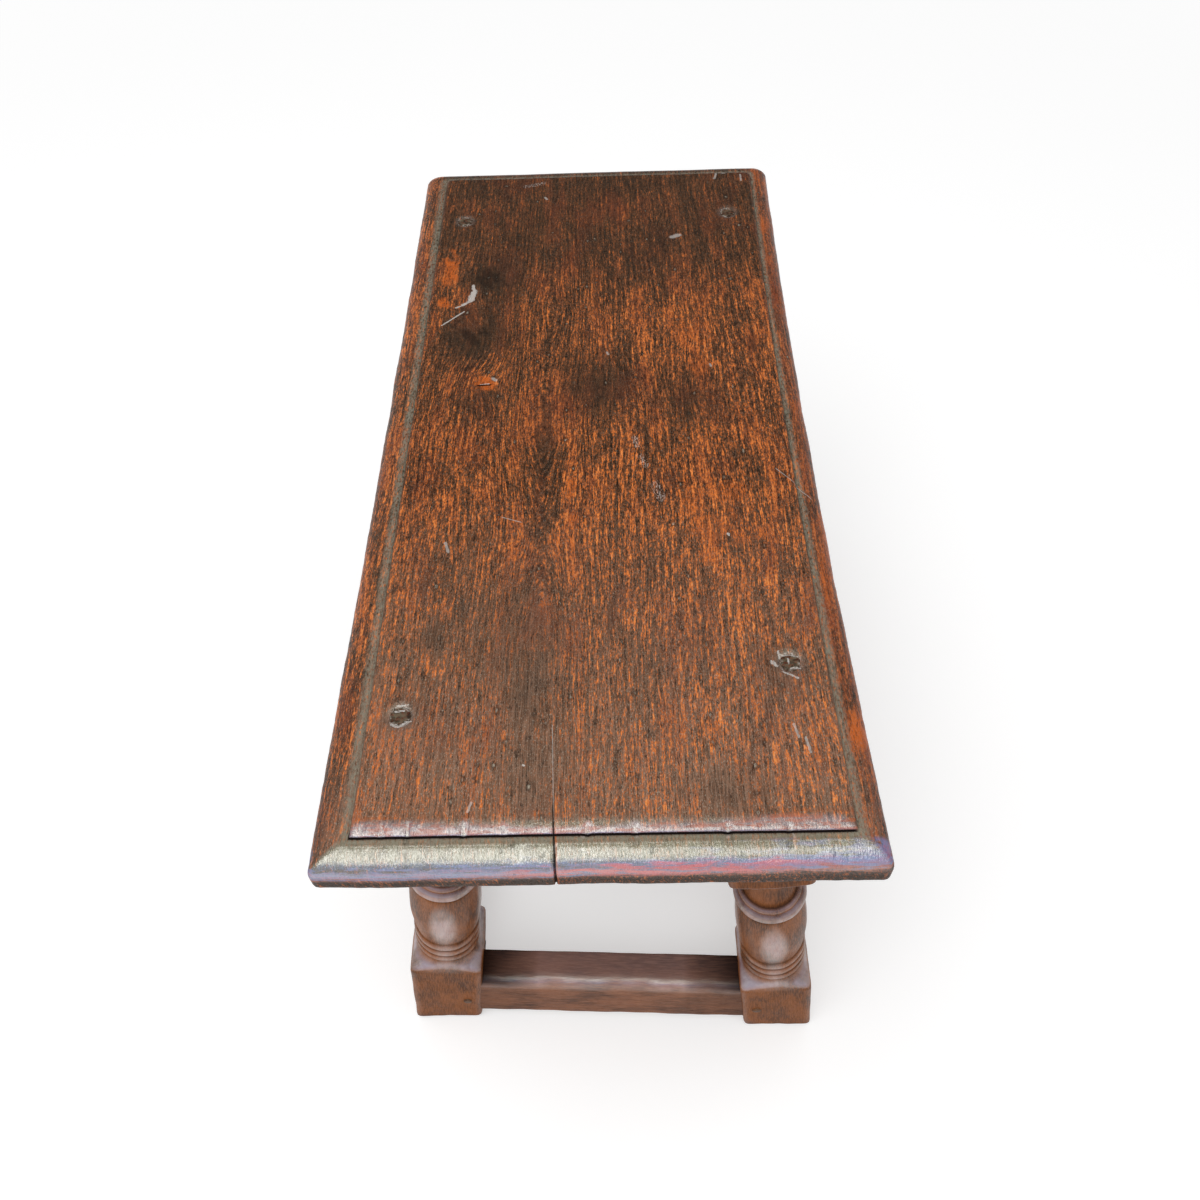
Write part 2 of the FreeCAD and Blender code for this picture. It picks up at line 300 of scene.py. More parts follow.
def ripple(size, seed, *coordinates):
    """Gentle unevenness between about -1 and 1: a few sine waves whose lengths are near a size,
    with directions and starts drawn from a seed."""
    draw = np.random.default_rng(seed)
    total = 0
    for _ in range(wave_count):
        direction = draw.normal(size=len(coordinates))
        direction /= np.linalg.norm(direction) * size * draw.uniform(0.6, 1.6)
        phase = draw.uniform(0, turn)
        total = total + np.sin(turn * sum(d * c for d, c in zip(direction, coordinates)) + phase)
    return total / (wave_count / 2)


print("columns of a point:", tone.stop)

# %% [markdown]
# ## The seat's plan
# The board is not a true rectangle. Its long edges have worn hollow, its corners are rounded, and the
# moulded border is wider on one side than on the other. The flat field inside the border is a grid of
# lines across and along, closer together at the pegs and at the crack. The border is rings that run
# round it, each ring standing a little further out and lower down.

# %% Plan of the seat
seat_low, seat_high = (np.array(corner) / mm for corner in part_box("seat_board"))
half_width = seat_high[0]
half_length = seat_high[1]
underside = seat_low[2]
edge_hollow = {"left": 1.2, "right": 4.5}
step_hollow = {"left": 0.4, "right": 3.2}
step_corners = {"front_left": (-114.6, -278.2), "front_right": (118.2, -278.2),
                "back_left": (-116.2, 278.0), "back_right": (119.8, 278.0)}
corner_round = {"front": 4.0, "back": 9.0}
corners = {"front_left": (-1, -1), "front_right": (1, -1), "back_left": (-1, 1), "back_right": (1, 1)}
crack_pixels = [(554.5, 887), (552.5, 832), (552.5, 790), (552, 700)]
crack_line = np.array([on_seat(pixel) for pixel in crack_pixels])
peg_boxes = {name: [np.array(c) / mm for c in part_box("seat_peg_" + name)] for name in corners}
peg_middles = {name: (low[:2] + high[:2]) / 2 for name, (low, high) in peg_boxes.items()}


def spread(count, low, high, crowds):
    """Lines from low to high that stand closer near crowds, each given as (place, width, strength): the
    crowds' bell curves are added to an even density, and the lines divide its running total evenly."""
    fine = np.linspace(low, high, 4000)
    density = 1 + sum(strength * np.exp(-((fine - at) / width) ** 2) for at, width, strength in crowds)
    total = np.concatenate([[0], np.cumsum((density[1:] + density[:-1]) / 2)])
    return np.interp(np.linspace(0, total[-1], count), total, fine)


lines_across, lines_along = 176, 282
peg_x, peg_y = np.array(list(peg_middles.values())).T
gouge_x, gouge_y = -90, 130
knot_y = 35
crowds_across = [(x, 8, 1.0) for x in peg_x] + [(crack_line[1, 0], 1.6, 5), (gouge_x, 9, 0.7)]
crowds_along = [(y, 8, 1.1) for y in peg_y]
crowds_along += [(-half_length, 9, 1.2), (gouge_y, 12, 0.9), (knot_y, 8, 0.9)]
field_x = spread(lines_across, -half_width, half_width, crowds_across)
field_y = spread(lines_along, -half_length, half_length, crowds_along)
share_x = (field_x + half_width) / (2 * half_width)
share_y = (field_y + half_length) / (2 * half_length)
print("closest lines across", round(float(np.diff(field_x).min()), 2), "mm")

# %% [markdown]
# ## Dents, gouges and the crack
# Each mark of use is kept as the pixel where the picture shows it, its size on the board and its depth.
# They could be painted on, but a real hollow catches the light from any side, so the deeper ones are
# pressed into the board's surface as soft ellipses, and the crack as a narrow groove along its line.

# %% Marks in the board
dents = {
    "gouge_high": ((470.5, 284), (472, 298), 2.6, 1.2), "gouge_tail": ((470, 299), (456, 306.5), 2.2, 1.0),
    "by_gouge": ((442, 325), (465, 311), 1.0, 0.5), "knot_hole": ((478, 382), (489, 381.5), 2.6, 1.7),
    "dent_high": ((635, 437), (637, 444), 2.2, 0.7), "dent_upper": ((640, 455), (645, 464), 2.0, 0.8),
    "dent_middle": ((648, 473), (653, 482), 2.2, 0.7), "dent_low": ((657, 486), (662, 497), 3.2, 1.1),
    "nick_left": ((444, 541), (448, 552), 1.5, 0.7), "dent_right": ((752, 332), (754, 350), 1.8, 0.8),
    "edge_notch": ((774, 288), (778, 298), 2.4, 1.2), "edge_dent": ((796, 479), (803, 488), 2.2, 0.9),
    "dent_far_pale": ((671, 236), (680, 233), 2.8, 0.9), "nail_hole": ((717, 176), (723, 176), 2.6, 0.9),
    "near_left": ((466, 812), (470, 803), 1.6, 0.7), "near_middle": ((518, 856), (521, 846), 1.3, 0.7),
    "cut_right": ((793, 722), (799, 737), 1.2, 0.7), "cut_right_again": ((805, 735), (811, 752), 1.2, 0.7),
    "front_right": ((733, 788), (742, 794), 5.0, 0.5), "front_left": ((521, 695), (526, 708), 5.0, 0.6),
    "dent_by_arris": ((760, 790), (768, 797), 3.0, 0.5), "smudge_left": ((430, 633), (434, 643), 3.5, 0.4),
}
arris_nicks = {359: 0.7, 380: 0.9, 407: 0.9, 463: 1.3, 503: 0.7, 587: 1.4, 635: 0.9, 728: 1.3, 790: 0.6}
arris_row = 830
nick_half_width, nick_length = 1.3, 4.0
crack_half_width = 0.4
peg_ring_radius, peg_ring_width, peg_ring_depth = 6.1, 0.9, 0.9
peg_dish_depth, peg_dish_run = 1.1, 1.5
worn_depth, uneven_depth, least_depth = 0.25, 0.05, 0.02
crack_depths = [2.6, 0.9, 0.15, 0.0]


def stroke(x, y, start_pixel, end_pixel, half_width):
    """Mark from one pixel to another on the board, 1 on its line and falling off as a bell with the
    distance from the nearest point of that line."""
    first, last = on_seat(start_pixel), on_seat(end_pixel)
    run = last - first
    share = np.clip(((x - first[0]) * run[0] + (y - first[1]) * run[1]) / (run @ run), 0, 1)
    away = np.hypot(x - first[0] - share * run[0], y - first[1] - share * run[1])
    return np.exp(-(away / half_width) ** 2)


def bell(x, y, pixel, size):
    """Soft ellipse, 1 at a pixel's place on the board and falling off over its size across and along."""
    px, py = on_seat(pixel)
    return np.exp(-((x - px) / size[0]) ** 2 - ((y - py) / size[1]) ** 2)


def crack_depth(x, y):
    """Groove along the crack's line, deepest at the front edge and gone where the crack ends."""
    order = np.argsort(crack_line[:, 1])
    line = np.interp(y, crack_line[order, 1], crack_line[order, 0])
    strength = np.interp(y, crack_line[order, 1], crack_depths)
    wander = 0.25 * np.sin(y / 3.1) + 0.2 * np.sin(y / 1.7)
    return strength * np.exp(-((x - line - wander) / crack_half_width) ** 2)


def from_pegs(x, y):
    """Distance from the nearest seat peg's middle, made uneven as a riven peg's outline is."""
    away = [np.hypot(x - middle[0], y - middle[1]) for middle in peg_middles.values()]
    return np.min(away, 0) + 0.35 * ripple(5, 7, x, y)


def pressed(x, y):
    """Depth of the board's surface below its first flat face: slow hollows, dents, nicks, peg rings."""
    depth = worn_depth + worn_depth * ripple(70, 5, x, y * 0.5) + uneven_depth * ripple(9, 6, x, y * 0.25)
    for start_pixel, end_pixel, half_width, deep in dents.values():
        depth = depth + deep * stroke(x, y, start_pixel, end_pixel, half_width)
    for column, deep in arris_nicks.items():
        depth = depth + deep * bell(x, y, (column, arris_row), (nick_half_width, nick_length))
    from_peg = from_pegs(x, y)
    depth = depth + peg_ring_depth * np.exp(-((from_peg - peg_ring_radius) / peg_ring_width) ** 2)
    depth = depth + peg_dish_depth * np.clip((peg_ring_radius - from_peg) / peg_dish_run, 0, 1)
    return np.maximum(depth, least_depth)


print("dents", len(dents), "crack from", np.round(crack_line[0], 1), "to", np.round(crack_line[-1], 1))

# %% [markdown]
# ## The moulded section
# A joiner's plane cut the border: a small step down from the field, a flat hollow that gathers dust, and
# a quarter round that ends in a short upright edge. The section is given as stations, each with how far
# out it lies and how far down: `groove` gives depths by distance from the step, and `edge` gives shares
# of the way out by depth. The step's arris is worn wide and round at the front, where people sit
# down and step over, and is crisper along the sides.

# %% Section of the border
thickness = overall_height - underside
arris_drop = 1.5
groove = {0.0: arris_drop, 0.25: 2.1, 0.5: 2.6, 1.0: 2.6, 1.5: 2.35}
hollow_bed, hollow_drop = 2.5, 2.8
edge_drop = 12.6
edge = {16.0: 1.0, 18.4: 1.0, 19.6: 0.996, 20.6: 0.99, 21.4: 0.965, thickness: 0.93}
arris_steps = np.sin(np.linspace(0, 0.5, 9)[:-1] * np.pi)
round_steps = np.linspace(0, 0.5, 15)[1:] * np.pi


def section(arris_width, hollow_width):
    """Stations as (distance out from the step in mm, share of the way on to the edge, depth).
    The arris and the quarter round are quarter ellipses, and the other runs are straight."""
    out = np.concatenate([
        -arris_width * (1 - arris_steps), list(groove), [hollow_width * 0.6, hollow_width],
        np.full(len(round_steps) + len(edge), hollow_width)])
    share = np.concatenate([
        np.zeros(len(arris_steps) + len(groove) + 2), np.sin(round_steps), list(edge.values())])
    down = np.concatenate([
        arris_drop * (1 - np.sqrt(1 - arris_steps ** 2)), list(groove.values()), [hollow_bed, hollow_drop],
        hollow_drop + (edge_drop - hollow_drop) * (1 - np.cos(round_steps)), list(edge)])
    return out, share, down


front_out, share_out, station_down = section(arris_width=8.5, hollow_width=3.2)
side_out, _, _ = section(arris_width=2.4, hollow_width=4.4)
left_back_out, _, _ = section(arris_width=2.4, hollow_width=5.4)
right_back_out, _, _ = section(arris_width=2.4, hollow_width=2.8)
back_out, _, _ = section(arris_width=2.6, hollow_width=4.5)
print("stations in the section", len(station_down))


def corner_at(out, end_out, step, side, end):
    """Where a station turns a corner: out from the step's corner, then on by a share to the board's."""
    near_x, near_y = step[0] + side * out, step[1] + end * end_out
    x = near_x + (side * half_width - near_x) * share_out
    y = near_y + (end * half_length - near_y) * share_out
    return x, y


side_outs = {"front_left": side_out, "front_right": side_out,
             "back_left": left_back_out, "back_right": right_back_out}
plan = {}
for name, (side, end) in corners.items():
    end_out = front_out if end < 0 else back_out
    plan[name] = corner_at(side_outs[name], end_out, step_corners[name], side, end)


def inside(u, v):
    """Places in plan for shares u across and v along, at every station: the four corners blended,
    with the long sides drawn in by a parabola that is nothing at the ends."""
    def blend(axis):
        front = plan["front_left"][axis][:, None] * (1 - u) + plan["front_right"][axis][:, None] * u
        back = plan["back_left"][axis][:, None] * (1 - u) + plan["back_right"][axis][:, None] * u
        return front * (1 - v) + back * v
    hollow = {side: (step_hollow[side] + (edge_hollow[side] - step_hollow[side]) * share_out)[:, None]
              for side in edge_hollow}
    belly = 4 * v * (1 - v)
    x = blend(0) + belly * (hollow["left"] * (1 - u) - hollow["right"] * u)
    return x, blend(1)


# %% [markdown]
# ## The seat as one closed skin
# The field's grid, the rings of the border and a flat underside are joined into one surface. The rings
# start on the field's own edge points, so nothing overlaps and the finish flows over the arris. Corners
# are rounded by moving any point that lies past the corner's arc back onto it.

# %% Seat surface
border_width = 12
least_corner = 1.2
wear_reach = {"side": 16, "end": 12, "crack": 30}
grid_u, grid_v = np.meshgrid(share_x, share_y)
steps_across, steps_along = lines_across - 1, lines_along - 1
rim_u = np.concatenate([share_x[:-1], np.ones(steps_along), share_x[:0:-1], np.zeros(steps_along)])
rim_v = np.concatenate([np.zeros(steps_across), share_y[:-1], np.ones(steps_across), share_y[:0:-1]])
rim_x, rim_y = inside(rim_u, rim_v)
field_rows, field_cols = inside(grid_u.ravel(), grid_v.ravel())
field_px, field_py = field_rows[0], field_cols[0]


def rounded_plan(x, y):
    """Rounds the four corners in plan: a ring that lies a little inside the edge has a smaller radius."""
    inset = ((1 - share_out) * border_width)[:, None]
    for end, name in ((-1, "front"), (1, "back")):
        radius = np.maximum(corner_round[name] - inset * 0.35, least_corner)
        for side in (-1, 1):
            centre_x = side * (np.abs(x * (side * x > 0)).max(1, keepdims=True) - radius)
            centre_y = end * (np.abs(y * (end * y > 0)).max(1, keepdims=True) - radius)
            dx, dy = (x - centre_x) * side, (y - centre_y) * end
            past = (dx > 0) & (dy > 0)
            pull = np.where(past, radius / np.maximum(np.hypot(dx, dy), radius), 1)
            x = np.where(past, centre_x + side * dx * pull, x)
            y = np.where(past, centre_y + end * dy * pull, y)
    return x, y


rim_x, rim_y = rounded_plan(rim_x, rim_y)
rim_z = overall_height - np.repeat(station_down[:, None], rim_x.shape[1], 1)
top_amount = np.clip(1 - (station_down - 2) / 8, 0, 1)[:, None]
wear = 0.35 * (1 + ripple(60, 11, rim_x, rim_y)) + 0.12 * (1 + ripple(7, 12, rim_x, rim_y))
sunk = pressed(rim_x, rim_y) - worn_depth * (top_amount < 1)
rim_z = rim_z - top_amount * sunk
edge_wear = (share_out ** 2)[:, None] * wear
rim_x = rim_x - np.sign(rim_x) * edge_wear * (np.abs(rim_x) > half_width - wear_reach["side"])
at_near_end, at_far_end = rim_y < wear_reach["end"] - half_length, rim_y > half_length - wear_reach["end"]
rim_y = rim_y + edge_wear * at_near_end - edge_wear * at_far_end
gap = crack_depth(rim_x, rim_y) * (rim_y < wear_reach["crack"] - half_length)
steep = np.clip((station_down - hollow_bed) / 12, 0, 1)[:, None]
rim_y = rim_y + gap * steep
rim_z = np.minimum(rim_z - gap * (1 - steep), overall_height - least_depth)
rim_z = np.maximum(rim_z, underside)
field_z = overall_height - pressed(field_px, field_py) - crack_depth(field_px, field_py)
print("field points", field_z.size, "border points", rim_z.size)

# %% [markdown]
# ## Tone of the board
# Old oak is not one brown. Bare, rubbed places glow orange, knots and hollows are sooty with wax, the near
# end carries a painted grey sheen, and the far end is a smooth dark brown. The soot also carries a painted
# shade line along the foot of the step's arris. These broad patches are worked out on the points of the
# board; fine grain comes from the shader.

# %% Patches of tone
glow_patches = {
    "worn_by_gouge": ((451, 265), (10, 34), 1.0), "worn_below_gouge": ((446, 300), (8, 14), 1.0),
    "round_the_knot": ((485, 383), (10, 10), 1.0), "heart_patch": ((540, 312), (11, 18), 0.7),
    "heart_strip": ((587, 290), (10, 52), 0.45), "heart_line": ((572, 510), (5, 70), 0.8),
    "right_high": ((690, 345), (32, 62), 0.75), "right_far": ((755, 300), (14, 75), 0.6),
    "by_far_pale": ((697, 239), (11, 7), 0.8),
    "right_middle": ((715, 520), (46, 75), 0.75), "middle": ((610, 520), (30, 70), 0.45),
    "left_edge": ((398, 600), (8, 110), 0.55), "left_spot": ((427, 660), (5, 14), 0.7),
    "left_front_spot": ((406, 737), (5, 10), 0.7), "left_corner": ((360, 808), (5, 12), 0.8),
    "right_front": ((770, 740), (34, 40), 0.5), "right_edge_front": ((838, 690), (8, 60), 0.6),
    "front_middle": ((640, 780), (40, 40), 0.25), "left_middle": ((440, 500), (25, 60), 0.35),
}
soot_patches = {
    "knot_shadow": ((473, 333), (22, 27), 1.0), "knot_shadow_far": ((494, 276), (22, 30), 1.0),
    "knot_tail": ((478, 400), (16, 14), 0.55), "heart_dark": ((545, 445), (6, 36), 0.45),
    "heart_dark_high": ((600, 385), (22, 24), 0.7), "right_dark": ((690, 400), (20, 22), 0.5),
    "right_far_dark": ((640, 262), (34, 34), 0.5), "left_smudge": ((432, 638), (7, 10), 0.7),
    "front_dark": ((523, 700), (9, 16), 0.8), "front_corner_dark": ((735, 792), (18, 14), 0.6),
    "front_line_dark": ((535, 770), (16, 22), 0.5), "far_left_dark": ((500, 215), (36, 40), 0.5),
    "right_edge_dark": ((753, 341), (4, 12), 0.6), "low_middle_dark": ((520, 640), (20, 34), 0.45),
    "by_left_peg": ((399, 716), (9, 10), 0.5), "by_right_peg": ((783, 668), (14, 12), 0.55),
}


def patches(named, x, y):
    """Soft ellipses of tone, each breaking up at its edge, the strongest winning at every point."""
    ragged = 0.35 * ripple(16, 21, x, y * 0.6) + 0.25 * ripple(6, 22, x, y * 0.5)
    total = np.zeros_like(x)
    for pixel, size, amount in named.values():
        total = np.maximum(total, amount * np.clip(bell(x, y, pixel, size) * (1 + ragged), 0, 1))
    return total


far_start, far_run = 90, 110
far_darkening = 0.36
grey_start, grey_run, grey_depth = -60, 190, 6
border_start, border_end_margin = 118, 18


def seat_columns(x, y, z, dirt, polish, line, end_glow=0.0, dust_and_sheen=0.0):
    """Columns for points of the seat: the wood's own place is the point's place, grain along Y. The far
    end darkens, the near end gets a painted grey sheen on its upper side, and the border along the sides
    glows. A painted shade line joins the soot, and painted sheen on the border goes in with its dust."""
    xyz = np.stack([x, y, z], -1)
    glow = patches(glow_patches, x, y)
    far = np.clip((y - far_start) / far_run, 0, 1)
    # Darker towards the far end, through the soot column.
    soot = np.maximum(0.9 * patches(soot_patches, x, y), far_darkening * far)
    glow = glow * (1 - 0.6 * far * (x > -80))
    upper = np.clip((z - overall_height + grey_depth) / 3, 0, 1)
    # Painted sheen: a grey over the upper side of the near end.
    painted_sheen = np.clip((grey_start - y) / grey_run, 0, 1) * upper
    outside = np.clip((np.abs(x) - border_start) / 4, 0, 1)
    outside = outside * np.clip((y + half_length - border_end_margin) / 50, 0, 1)
    glow = np.maximum(glow, outside * (0.32 + 0.3 * (x > 0) + 0.34 * ripple(24, 23, x, y * 0.4)))
    glow = np.maximum(glow, end_glow)
    # The painted shade line under the step's arris goes into the soot column.
    soot = np.maximum(soot * (1 - outside), line)
    return columns_of(xyz, xyz, dirt, polish, dust_and_sheen, glow, soot, painted_sheen * (1 - outside))


peg_wax = np.clip((9.0 - from_pegs(field_px, field_py)) / 2, 0, 1)
field_points = seat_columns(field_px, field_py, field_z, 0.0, 0.4 * peg_wax, 0.0)
hollow_amount = np.exp(-((station_down - 2.45) / 0.5) ** 2) * np.clip(1 - share_out / 0.12, 0, 1)
arris_amount = np.interp(station_down, [0, 0.15, 1.3, 2.1], [0.25, 1, 1, 0]) * (share_out < 0.01)
round_amount = np.clip(share_out * 12, 0, 1) * np.interp(station_down, [9, 13.5], [1, 0])
lower_round = np.interp(station_down, [5, 8, 14, 17], [0, 1, 0.7, 0.2])
# Painted shade: a dark line at the foot of the step's arris, weak at the far end.
step_shade_amount = np.interp(front_out, [-0.4, 0.0, 0.5, 1.1, 1.5], [0, 1, 1, 0.7, 0]) * (share_out < 0.01)
at_front = np.clip((half_width - np.abs(rim_x) - half_length - rim_y) / 3 + 0.5, 0, 1)
rim_polish = np.maximum(0.9 * arris_amount, round_amount)[:, None] * (0.08 + 0.92 * at_front)
rim_polish = rim_polish * (1 - 0.2 * np.clip(rim_x / 40, 0, 1))
at_back = rim_y > half_length - 22
rim_shade_line = step_shade_amount[:, None] * np.where(at_back, 0.15, 0.75 + 0.25 * at_front)
# Dust and painted sheen over the front hollow and the top of the front round.
front_dust_and_sheen = np.interp(station_down, [2.2, 2.35, 4.5, 8.5], [0, 1, 1, 0]) * (front_out > 1.2)
rim_dust_and_sheen = at_front * front_dust_and_sheen[:, None] * (0.7 + 0.3 * ripple(12, 25, rim_x, rim_z))
warm_share = np.clip(0.55 + rim_x / 130 + 0.5 * ripple(22, 24, rim_x, rim_z), 0, 1)
rim_glow = at_front * lower_round[:, None] * warm_share
rim_dust = hollow_amount[:, None] * (0.85 + 0.15 * ripple(14, 31, rim_x, rim_y))
rim_points = seat_columns(rim_x, rim_y, rim_z, rim_dust, rim_polish, rim_shade_line, rim_glow, rim_dust_and_sheen)
print("columns carried by each point", field_points.shape[1])

# %% [markdown]
# ## Oak that has been waxed for centuries
# Looked at closely, the board is a dark ground with short orange dashes along the grain: the raised,
# rubbed parts between open pores that hold wax and soot. The dashes could be an image, but noise that
# is stretched ten times along the grain gives them at any size. The growth rings bend it: they run
# round a knot, and come together to points along the heart of the board.

# %% Paints and new finishes
# Several paints stand in for light: a pale glint colour, a grey painted sheen, a pale colour for dust and
# painted sheen, blue and rose painted reflections, a lilac painted sheen, a gold painted highlight and a
# bluish painted sheen for the shoulders. The pale bare colour also paints highlights round the pegs.
paint = {
    "soot": pigment(62, 47, 35), "pit": pigment(36, 25, 18), "dust": pigment(140, 135, 119),
    "bare": pigment(206, 200, 194), "painted_sheen_grey": pigment(160, 124, 102), "painted_glint": pigment(186, 176, 158),
    "fresh": pigment(200, 98, 34), "split": pigment(22, 15, 14), "red": pigment(122, 58, 36),
    "dust_and_sheen": pigment(120, 119, 98), "blue_reflection": pigment(120, 134, 180), "rose_reflection": pigment(204, 88, 88),
    "lilac_sheen": pigment(186, 160, 190), "gold_highlight": pigment(206, 156, 98), "shoulder": pigment(160, 166, 188),
}
lit_oak = {
    0.37: (50, 35, 25), 0.43: (82, 52, 33), 0.495: (106, 67, 42), 0.535: (143, 83, 48),
    0.57: (186, 102, 50), 0.62: (228, 122, 52), 0.68: (246, 152, 80),
}
lit_stops = [(level, pigment(*colour)) for level, colour in lit_oak.items()]
wax_index = 2.0


def emptied(owner):
    """The node tree of a material or a world, switched on and emptied, as a reading to build on."""
    owner.use_nodes = True
    owner.node_tree.nodes.clear()
    return Reading(owner.node_tree)


def shown(start, kind, shader):
    """Adds the output node of a kind, with a shader as its surface."""
    output = start.tree.nodes.new("ShaderNodeOutput" + kind)
    start.tree.links.new(shader.socket, output.inputs["Surface"])


def new_finish(name):
    """A material with an empty tree, the reading to build on, and its surface shader."""
    material = bpy.data.materials.new(name)
    start = emptied(material)
    surface = start.tree.nodes.new("ShaderNodeBsdfPrincipled")
    shown(start, "Material", Reading(start.tree, surface.outputs["BSDF"]))
    return material, start, surface


def dress(start, surface, colour, roughness, coat, height, relief, gloss):
    """Links what varies over the surface: colour, roughness, coat, and bump of a relief in mm."""
    bump = start.node("Bump", {}, {"Height": height, "Strength": 1.0, "Distance": relief * mm}, "Normal")
    varying = {"Base Color": colour, "Roughness": roughness, "Coat Weight": coat, "Normal": bump}
    for name, reading in varying.items():
        start.tree.links.new(reading.socket, surface.inputs[name])
    surface.inputs["Specular IOR Level"].default_value = gloss
    surface.inputs["Coat Roughness"].default_value = 0.2
    surface.inputs["Coat IOR"].default_value = 1.45
    return bump


def waxed(start, surface, share, colour, bump, roughness, coat, coat_roughness):
    """Mixes in, by a share, a second surface with a stronger shine: its base follows the bump and its
    coat lies smooth over it, as wax fills the grain of an arris that is rubbed every day."""
    tree = start.tree
    shine = tree.nodes.new("ShaderNodeBsdfPrincipled")
    for name, reading in (("Base Color", colour), ("Roughness", roughness), ("Normal", bump)):
        tree.links.new(reading.socket, shine.inputs[name])
    shine.inputs["IOR"].default_value = wax_index
    shine.inputs["Specular IOR Level"].default_value = 1.0
    shine.inputs["Coat Weight"].default_value = coat
    shine.inputs["Coat Roughness"].default_value = coat_roughness
    shine.inputs["Coat IOR"].default_value = 1.6
    mixed = start.node("MixShader", {}, {0: share, 1: Reading(tree, surface.outputs["BSDF"]),
                                         2: Reading(tree, shine.outputs["BSDF"])})
    output = next(node for node in tree.nodes if node.type == "OUTPUT_MATERIAL")
    tree.links.new(mixed.socket, output.inputs["Surface"])


print("paints", len(paint), "and", len(lit_stops), "stops from dark to lit oak")

# %% [markdown]
# ## Fine pale marks
# Scratches and torn nicks show paler than the oak, and painted highlights and glints lie on the wax round
# the pegs and on a few other spots. Many are finer than the board's grid of points, so a mesh can't hold
# them. They are strokes again, from pixel to pixel, but measured in the shader at every sample, with an
# edge that noise tears. Bare marks are strong, faint ones weak, and rough ones are broken up by specks.

# %% Strokes in the shader
pale_strokes = {
    "gouge_high": ((473, 284.5), (474, 291), 1.1), "gouge_corner": ((474, 291), (470.5, 299), 2.2),
    "gouge_tail": ((470, 300), (463, 304), 1.7), "gouge_end": ((463, 304), (456, 306.5), 0.8),
    "scratch_by_gouge": ((441.5, 325), (464, 311), 0.45),
    "knot_glint": ((480, 382.5), (489, 381.5), 0.4), "speck_near": ((581, 846), (583, 846.5), 0.6),
    "speck_left": ((523, 765), (524, 765.5), 0.5), "speck_right": ((728, 533), (729, 534.5), 0.7),
}
faint_strokes = {
    "by_knot": ((493, 378), (496, 380), 1.1), "far_pale": ((672, 236), (679, 234), 2.0),
    "nail_left": ((714, 178), (716, 173.5), 0.9), "nail_top": ((717, 172), (724, 172.5), 0.8),
    "far_speck": ((740, 174), (741, 180), 0.7), "far_glint": ((545, 197), (547, 199), 0.8),
    "long_scratch": ((502, 517), (521, 522), 0.25),
    "right_scratch": ((776, 468), (812, 495), 0.25), "nick_left": ((445, 542), (448, 551), 0.8),
    "cut_right": ((794, 723), (799, 736), 0.6), "cut_right_again": ((806, 737), (811, 751), 0.7),
    "near_cut": ((467, 811), (471, 802), 0.6), "over_edge": ((519, 855), (521, 847), 0.6),
    "speck_high": ((710, 364), (711, 366), 0.7), "speck_far": ((607, 352), (608, 354), 0.7),
    "hairline": ((553.5, 822), (552.3, 725), 0.16),
}
# Painted highlights on the wax round the seat pegs, drawn as strokes.
peg_highlight_strokes = {
    "left_bar": ((395, 711.5), (404, 710), 0.45), "left_top": ((397, 705), (408, 704), 0.4),
    "left_low": ((391, 723), (397, 726), 0.7), "left_low_right": ((398, 726), (410, 720), 0.5),
    "right_spike": ((778, 651), (779.5, 657), 0.6), "right_high": ((780, 654), (798, 655.5), 0.4),
    "right_blob": ((772, 662), (776, 665), 1.0), "right_low": ((783, 671), (799, 678), 0.5),
    "right_inner": ((791, 668), (800, 667), 0.4), "right_fibre": ((788, 658), (789, 663), 0.35),
}
torn_nicks = {}
for column, deep in arris_nicks.items():
    nick_top = (column, arris_row - 5 + 3 * np.sin(column))
    nick_foot = (column + 6 * np.sin(2.3 * column), arris_row + 4)
    torn_nicks[f"nick_{column}"] = (nick_top, nick_foot, 0.2 + 0.45 * deep)
knot_slit = {"slit": ((479, 384.5), (489, 383.5), 1.3)}
rough_strokes = {
    "pale_streak": ((526, 186), (543, 183), 2.4), "dent_high": ((635, 437), (637, 445), 2.2),
    "dent_upper": ((640, 455), (646, 465), 2.2), "dent_low": ((655, 484), (661, 497), 3.4),
}


def stroke_distance(start, x, y, start_pixel, end_pixel):
    """Distance in the shader from the line between two pixels' places on the board."""
    first, last = on_seat(start_pixel), on_seat(end_pixel)
    run = last - first
    from_x, from_y = x - float(first[0]), y - float(first[1])
    share = (from_x * float(run[0]) + from_y * float(run[1])) * float(1 / (run @ run))
    share = start.math("MINIMUM", share.highest(0.0), 1.0)
    off_x, off_y = from_x - share * float(run[0]), from_y - share * float(run[1])
    return start.math("SQRT", off_x * off_x + off_y * off_y)


def marked(start, x, y, strokes, torn):
    """Highest of a set of strokes, each with an edge torn by a noise."""
    total = None
    for start_pixel, end_pixel, half_width in strokes.values():
        away = stroke_distance(start, x, y, start_pixel, end_pixel) * (1 / half_width) + torn
        mask = 1.0 - away.between(0.75, 1.2)
        total = mask if total is None else total.highest(mask)
    return total


def peg_rim_highlights(start, x, y, torn, ragged):
    """Painted highlight on the old wax round each seat peg: a pale broken rim, strongest on its near and
    far sides.
    """
    total = None
    for middle in peg_middles.values():
        dx, dy = x - float(middle[0]), y - float(middle[1])
        away = start.math("SQRT", dx * dx + dy * dy)
        off = (away - peg_ring_radius + torn + (ragged - 0.5) * 5.0) / 0.7
        rim = off.bell() * (0.15 + 0.85 * start.math("ABSOLUTE", dy / away))
        total = rim if total is None else total.highest(rim)
    return total * torn.between(-0.25, 0.45) * ragged.between(0.38, 0.56)


